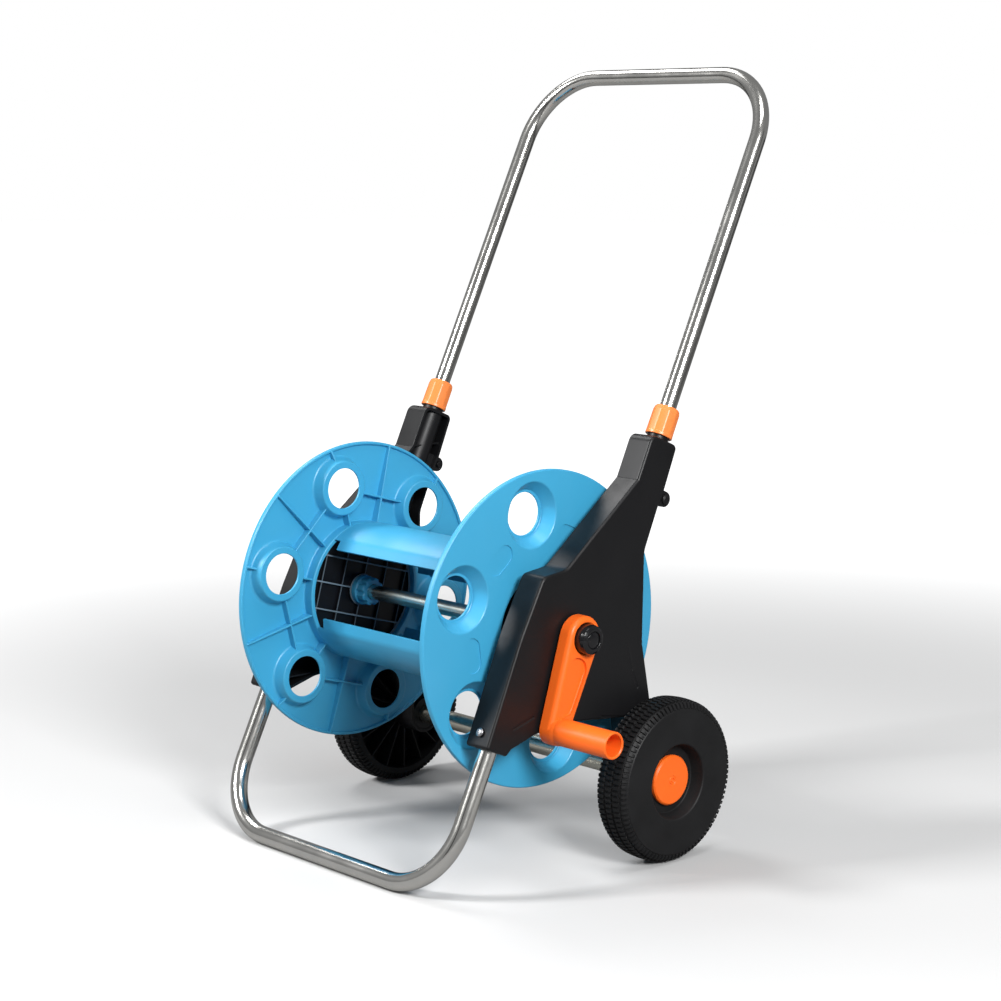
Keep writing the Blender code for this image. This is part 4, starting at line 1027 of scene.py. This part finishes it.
def build_collars():
    place_pair(make_collar(), "collar", COLLAR_ORANGE_PAINTED_LIGHTER, "{label}_collar")
    low = SOCKET_TOP + NECK_HEIGHT + GAP
    high, bore = COLLAR_TOP - 4.9, HANDLE_RADIUS + GAP
    clamp = lathe([(bore, high, 0.2), (NECK_RADIUS, high, 0.4), (NECK_RADIUS, low, 0.2),
                   (bore, low, 0.2)], SOCKET_FRAME, SMALL)
    place_pair(clamp, "clamp_ring", BLACK)


# -------- wheels

def crown(share):
    """A point of the tyre's section, from its outer edge (0) to its inner one (1)."""
    half = (WHEEL_OUTSIDE - WHEEL_INSIDE) / 2
    centre = (WHEEL_OUTSIDE + WHEEL_INSIDE) / 2
    corner, rise = 8.5, 0.7
    flat = half - corner
    quarter = corner * math.pi / 2
    along = share * 2 * (flat + quarter)
    to_edge = min(along, 2 * (flat + quarter) - along)
    across = flat + quarter - along
    if to_edge < quarter:
        a = to_edge / corner
        out = math.copysign(flat + corner * math.cos(a), across)
        return Vector((WHEEL_RADIUS - rise - corner + corner * math.sin(a), centre + out))
    return Vector((WHEEL_RADIUS - rise * (across / flat) ** 2, centre + across))


def tread_section():
    """Points across the tyre as (point, way inwards, row or None for a groove)."""
    section = []
    for row in range(TREAD_ROWS):
        for share, kind in ((0.0, None), (0.09, None), (0.16, row), (0.35, row), (0.5, row),
                            (0.65, row), (0.84, row), (0.91, None)):
            here = (row + share) / TREAD_ROWS
            ahead = crown(min(1.0, here + 0.005)) - crown(max(0.0, here - 0.005))
            inwards = Vector((ahead.y, -ahead.x)).normalized()
            section.append((crown(here), inwards if inwards.x <= 0 else -inwards, kind))
    return section


def is_lug(fraction, row):
    shifted = (fraction + 0.5 * (row % 2)) % 1.0
    return 0.07 < shifted < 0.63


def make_wheel():
    """A moulded wheel: lugged tread, outer disc with a sunk centre, and ribs behind."""
    low, high = WHEEL_INSIDE, WHEEL_OUTSIDE
    bore, sunk, tyre = AXLE_RADIUS + GAP, CAP_SEAT - GAP, WHEEL_RADIUS - 14
    hub = 17
    section = tread_section()
    dish = rounded([(tyre, low, 0), (tyre, high - 4, 2.0), (39, high - 4, 1.5),
                    (34.5, sunk - 4, 2.5), (hub, sunk - 4, 1.5), (hub, low, 0.8), (bore, low, 0.4),
                    (bore, sunk, 0.3), (32.5, sunk, 1.5), (36.4, high, 2.2),
                    (WHEEL_RADIUS - 13, high, 0)])
    profile = [point for point, _, _ in section] + dish
    angles, fractions = [], []
    for lug in range(TREAD_LUGS):
        for fraction in LUG_STEPS:
            angles.append(math.tau * (lug + fraction) / TREAD_LUGS)
            fractions.append(fraction)

    def carve(i, j, radius, height):
        if i >= len(section):
            return radius, height
        _, inwards, row = section[i]
        if row is not None and is_lug(fractions[j], row):
            return radius, height
        edge = min(i, len(section) - 1 - i)
        depth = TREAD_DEPTH * min(1.0, edge / 3)
        return radius + inwards.x * depth, height + inwards.y * depth
    wheel = revolve(profile, OUTWARD, angles, carve)
    start = hub - 2
    length = tyre + 1 - start
    for angle in turn_angles(WHEEL_RIBS):
        turn = Matrix.Rotation(angle, 4, "Z")
        at = OUTWARD @ turn @ Matrix.Translation((start + length / 2, 0, (low + sunk) / 2))
        join(wheel, box_solid((length, 1.8, sunk - low - 4.4), at, 0.4))
    return wheel


def make_hub_cap():
    """A push-in cap: a flat face with a small turned mark in its middle, and a skirt."""
    edge, face = CAP_RADIUS, CAP_FACE
    skirt, under = edge - 3, face - 3.4
    return lathe([(0, face, 0), (1.3, face, 0.3), (1.5, face - 1.0, 0.1), (2.5, face - 1.0, 0.1),
                  (2.7, face, 0.3), (3.5, face, 0.3), (3.9, face - 0.7, 0.2),
                  (4.6, face - 0.7, 0.1), (5.0, face - 0.1, 0.3), (edge - 1.6, face - 0.5, 1.5),
                  (edge, face - 2.4, 1.0), (edge, CAP_SEAT, 0.4), (skirt, CAP_SEAT, 0.4),
                  (skirt, under, 0.5), (0, under, 0)], OUTWARD, FINE)


def build_wheels():
    body = "{label}_wheel"
    place_pair(make_wheel(), "wheel", TYRE, body, WHEEL_AXIS)
    place_pair(make_hub_cap(), "hub_cap", ORANGE, body, WHEEL_AXIS)
    inner = AXLE_RADIUS - SHAFT_WALL
    axle = sleeve(AXLE_RADIUS, inner, -AXLE_END, AXLE_END)
    place(axle, "wheel_axle", "root", SHAFT_STEEL, WHEEL_AXIS)
    low, high = reach("right_axle_spacer")
    spacer = lathe([(AXLE_RADIUS + GAP, low, 0.2), (15, low, 0.5), (15, high, 0.5),
                    (AXLE_RADIUS + GAP, high, 0.2)])
    place_pair(spacer, "axle_spacer", BLACK, "root", WHEEL_AXIS)
    stopper = inner - GAP
    plug = lathe([(0, AXLE_END + 1.6, 0), (9, AXLE_END + 1.6, 0.6), (9, AXLE_END + GAP, 0.2),
                  (stopper, AXLE_END + GAP, 0), (stopper, AXLE_END - 12, 0.6),
                  (0, AXLE_END - 12, 0)])
    place_pair(plug, "axle_plug", ZINC, "root", WHEEL_AXIS)


# -------- stage

def make_camera():
    a, e, roll = CAMERA_AZIMUTH, CAMERA_ELEVATION, CAMERA_ROLL
    forward = Vector((-math.sin(a) * math.cos(e), math.cos(a) * math.cos(e), -math.sin(e)))
    level = Vector((math.cos(a), math.sin(a), 0))
    up = level.cross(forward)
    right = level * math.cos(roll) + up * math.sin(roll)
    top = up * math.cos(roll) - level * math.sin(roll)
    data = bpy.data.cameras.new("camera")
    data.lens = CAMERA_LENS
    data.clip_start, data.clip_end = 0.05, 60
    camera = bpy.data.objects.new("camera", data)
    rotation = Matrix((right, top, -forward)).transposed().to_4x4()
    camera.matrix_world = Matrix.Translation((CAMERA_PLACE + ORIGIN) * MM) @ rotation
    bpy.context.scene.collection.objects.link(camera)
    bpy.context.scene.camera = camera


def aimed(place_at, target):
    """Where a light or card stands, facing its target."""
    aim = Vector(target) - Vector(place_at)
    return Matrix.Translation(place_at) @ aim.to_track_quat("-Z", "Y").to_matrix().to_4x4()


def softbox(name, place_at, size, power):
    data = bpy.data.lights.new(name, "AREA")
    data.shape = "RECTANGLE"
    data.size = data.size_y = size
    data.energy = power
    light = bpy.data.objects.new(name, data)
    light.matrix_world = aimed(place_at, LIGHT_TARGET)
    bpy.context.scene.collection.objects.link(light)


def flat_panel(name, width, height, matrix, material):
    bm = bmesh.new()
    corners = [bm.verts.new((x * width / 2, y * height / 2, 0))
               for x, y in ((-1, -1), (1, -1), (1, 1), (-1, 1))]
    bm.faces.new(corners)
    mesh = bpy.data.meshes.new(name)
    bm.to_mesh(mesh)
    bm.free()
    obj = link(mesh, name)
    obj.matrix_world = matrix
    mesh.materials.append(material)
    return obj


def floor_material():
    """White studio floor that glows more with distance, so that it runs into the backdrop."""
    material, tree, shader, place_in = new_material("studio_floor")
    away = tree.nodes.new("ShaderNodeVectorMath")
    away.operation = "LENGTH"
    tree.links.new(place_in, away.inputs[0])
    fade = map_range(tree, away.outputs["Value"], *FLOOR_FADE, 0.0, 0.9)
    fade.interpolation_type = "SMOOTHSTEP"
    fill(tree, shader, {"Base Color": tint(tree, noise(tree, place_in, 2.0),
                                           (FLOOR_GREY,) * 3, (FLOOR_GREY + 0.01,) * 3),
                        "Roughness": 0.9, "Emission Color": (1, 1, 1, 1),
                        "Emission Strength": fade.outputs["Result"]})
    bounce = add_node(tree, "ShaderNodeBsdfDiffuse", {"Color": (*(FLOOR_BOUNCE,) * 3, 1)})
    split_camera(tree, bounce.outputs["BSDF"], shader.outputs["BSDF"], "Material Output")
    return material


def split_camera(tree, lighting, seen, output):
    """Use one shader for what lights the object and another for what shows behind it."""
    path = tree.nodes.new("ShaderNodeLightPath")
    mix = add_node(tree, "ShaderNodeMixShader",
                   {"Fac": path.outputs["Is Camera Ray"], 1: lighting, 2: seen})
    tree.links.new(mix.outputs["Shader"], tree.nodes[output].inputs["Surface"])


def dark_card(name, place_at, width, height):
    """A black card that only reflections see."""
    material, tree, shader, place_in = new_material(name)
    cloth = tint(tree, noise(tree, place_in, 3.0), (0.0, 0.0, 0.0), (0.01, 0.01, 0.01))
    fill(tree, shader, {"Base Color": cloth, "Roughness": 1.0})
    card = flat_panel(name, width, height, aimed(place_at, CARD_TARGET), material)
    card.visible_camera = False
    card.visible_shadow = False
    card.visible_diffuse = False


def make_world():
    world = bpy.data.worlds.new("studio")
    bpy.context.scene.world = world
    world.use_nodes = True
    tree = world.node_tree
    background = fill(tree, tree.nodes["Background"],
                      {"Color": (0.97, 0.985, 1.0, 1), "Strength": 0.20})
    seen = add_node(tree, "ShaderNodeBackground", {"Color": (1, 1, 1, 1), "Strength": 1.0})
    split_camera(tree, background.outputs["Background"], seen.outputs["Background"],
                 "World Output")


def build_stage():
    make_camera()
    make_world()
    flat_panel("studio_floor", FLOOR_SIZE, FLOOR_SIZE, Matrix.Translation((0, 0, -FLOOR_DROP)),
               floor_material())
    softbox("key_light", (-1.2, -2.3, 1.9), 0.6, 84)
    softbox("top_light", (0.9, -0.2, 2.8), 1.0, 16)
    softbox("side_light", (2.6, -1.0, 1.7), 0.9, 104)
    softbox("left_light", (-1.9, 0.1, 2.8), 1.2, 30)
    dark_card("side_card", (2.4, 1.2, 0.6), 0.35, 2.4)
    dark_card("front_card", (0.6, -2.6, 0.7), 0.5, 2.2)
    bpy.context.scene.view_settings.view_transform = "Standard"


build_panels()
build_inlet()
build_foot()
build_handle()
build_collars()
build_reel()
build_crank()
build_wheels()
build_stage()
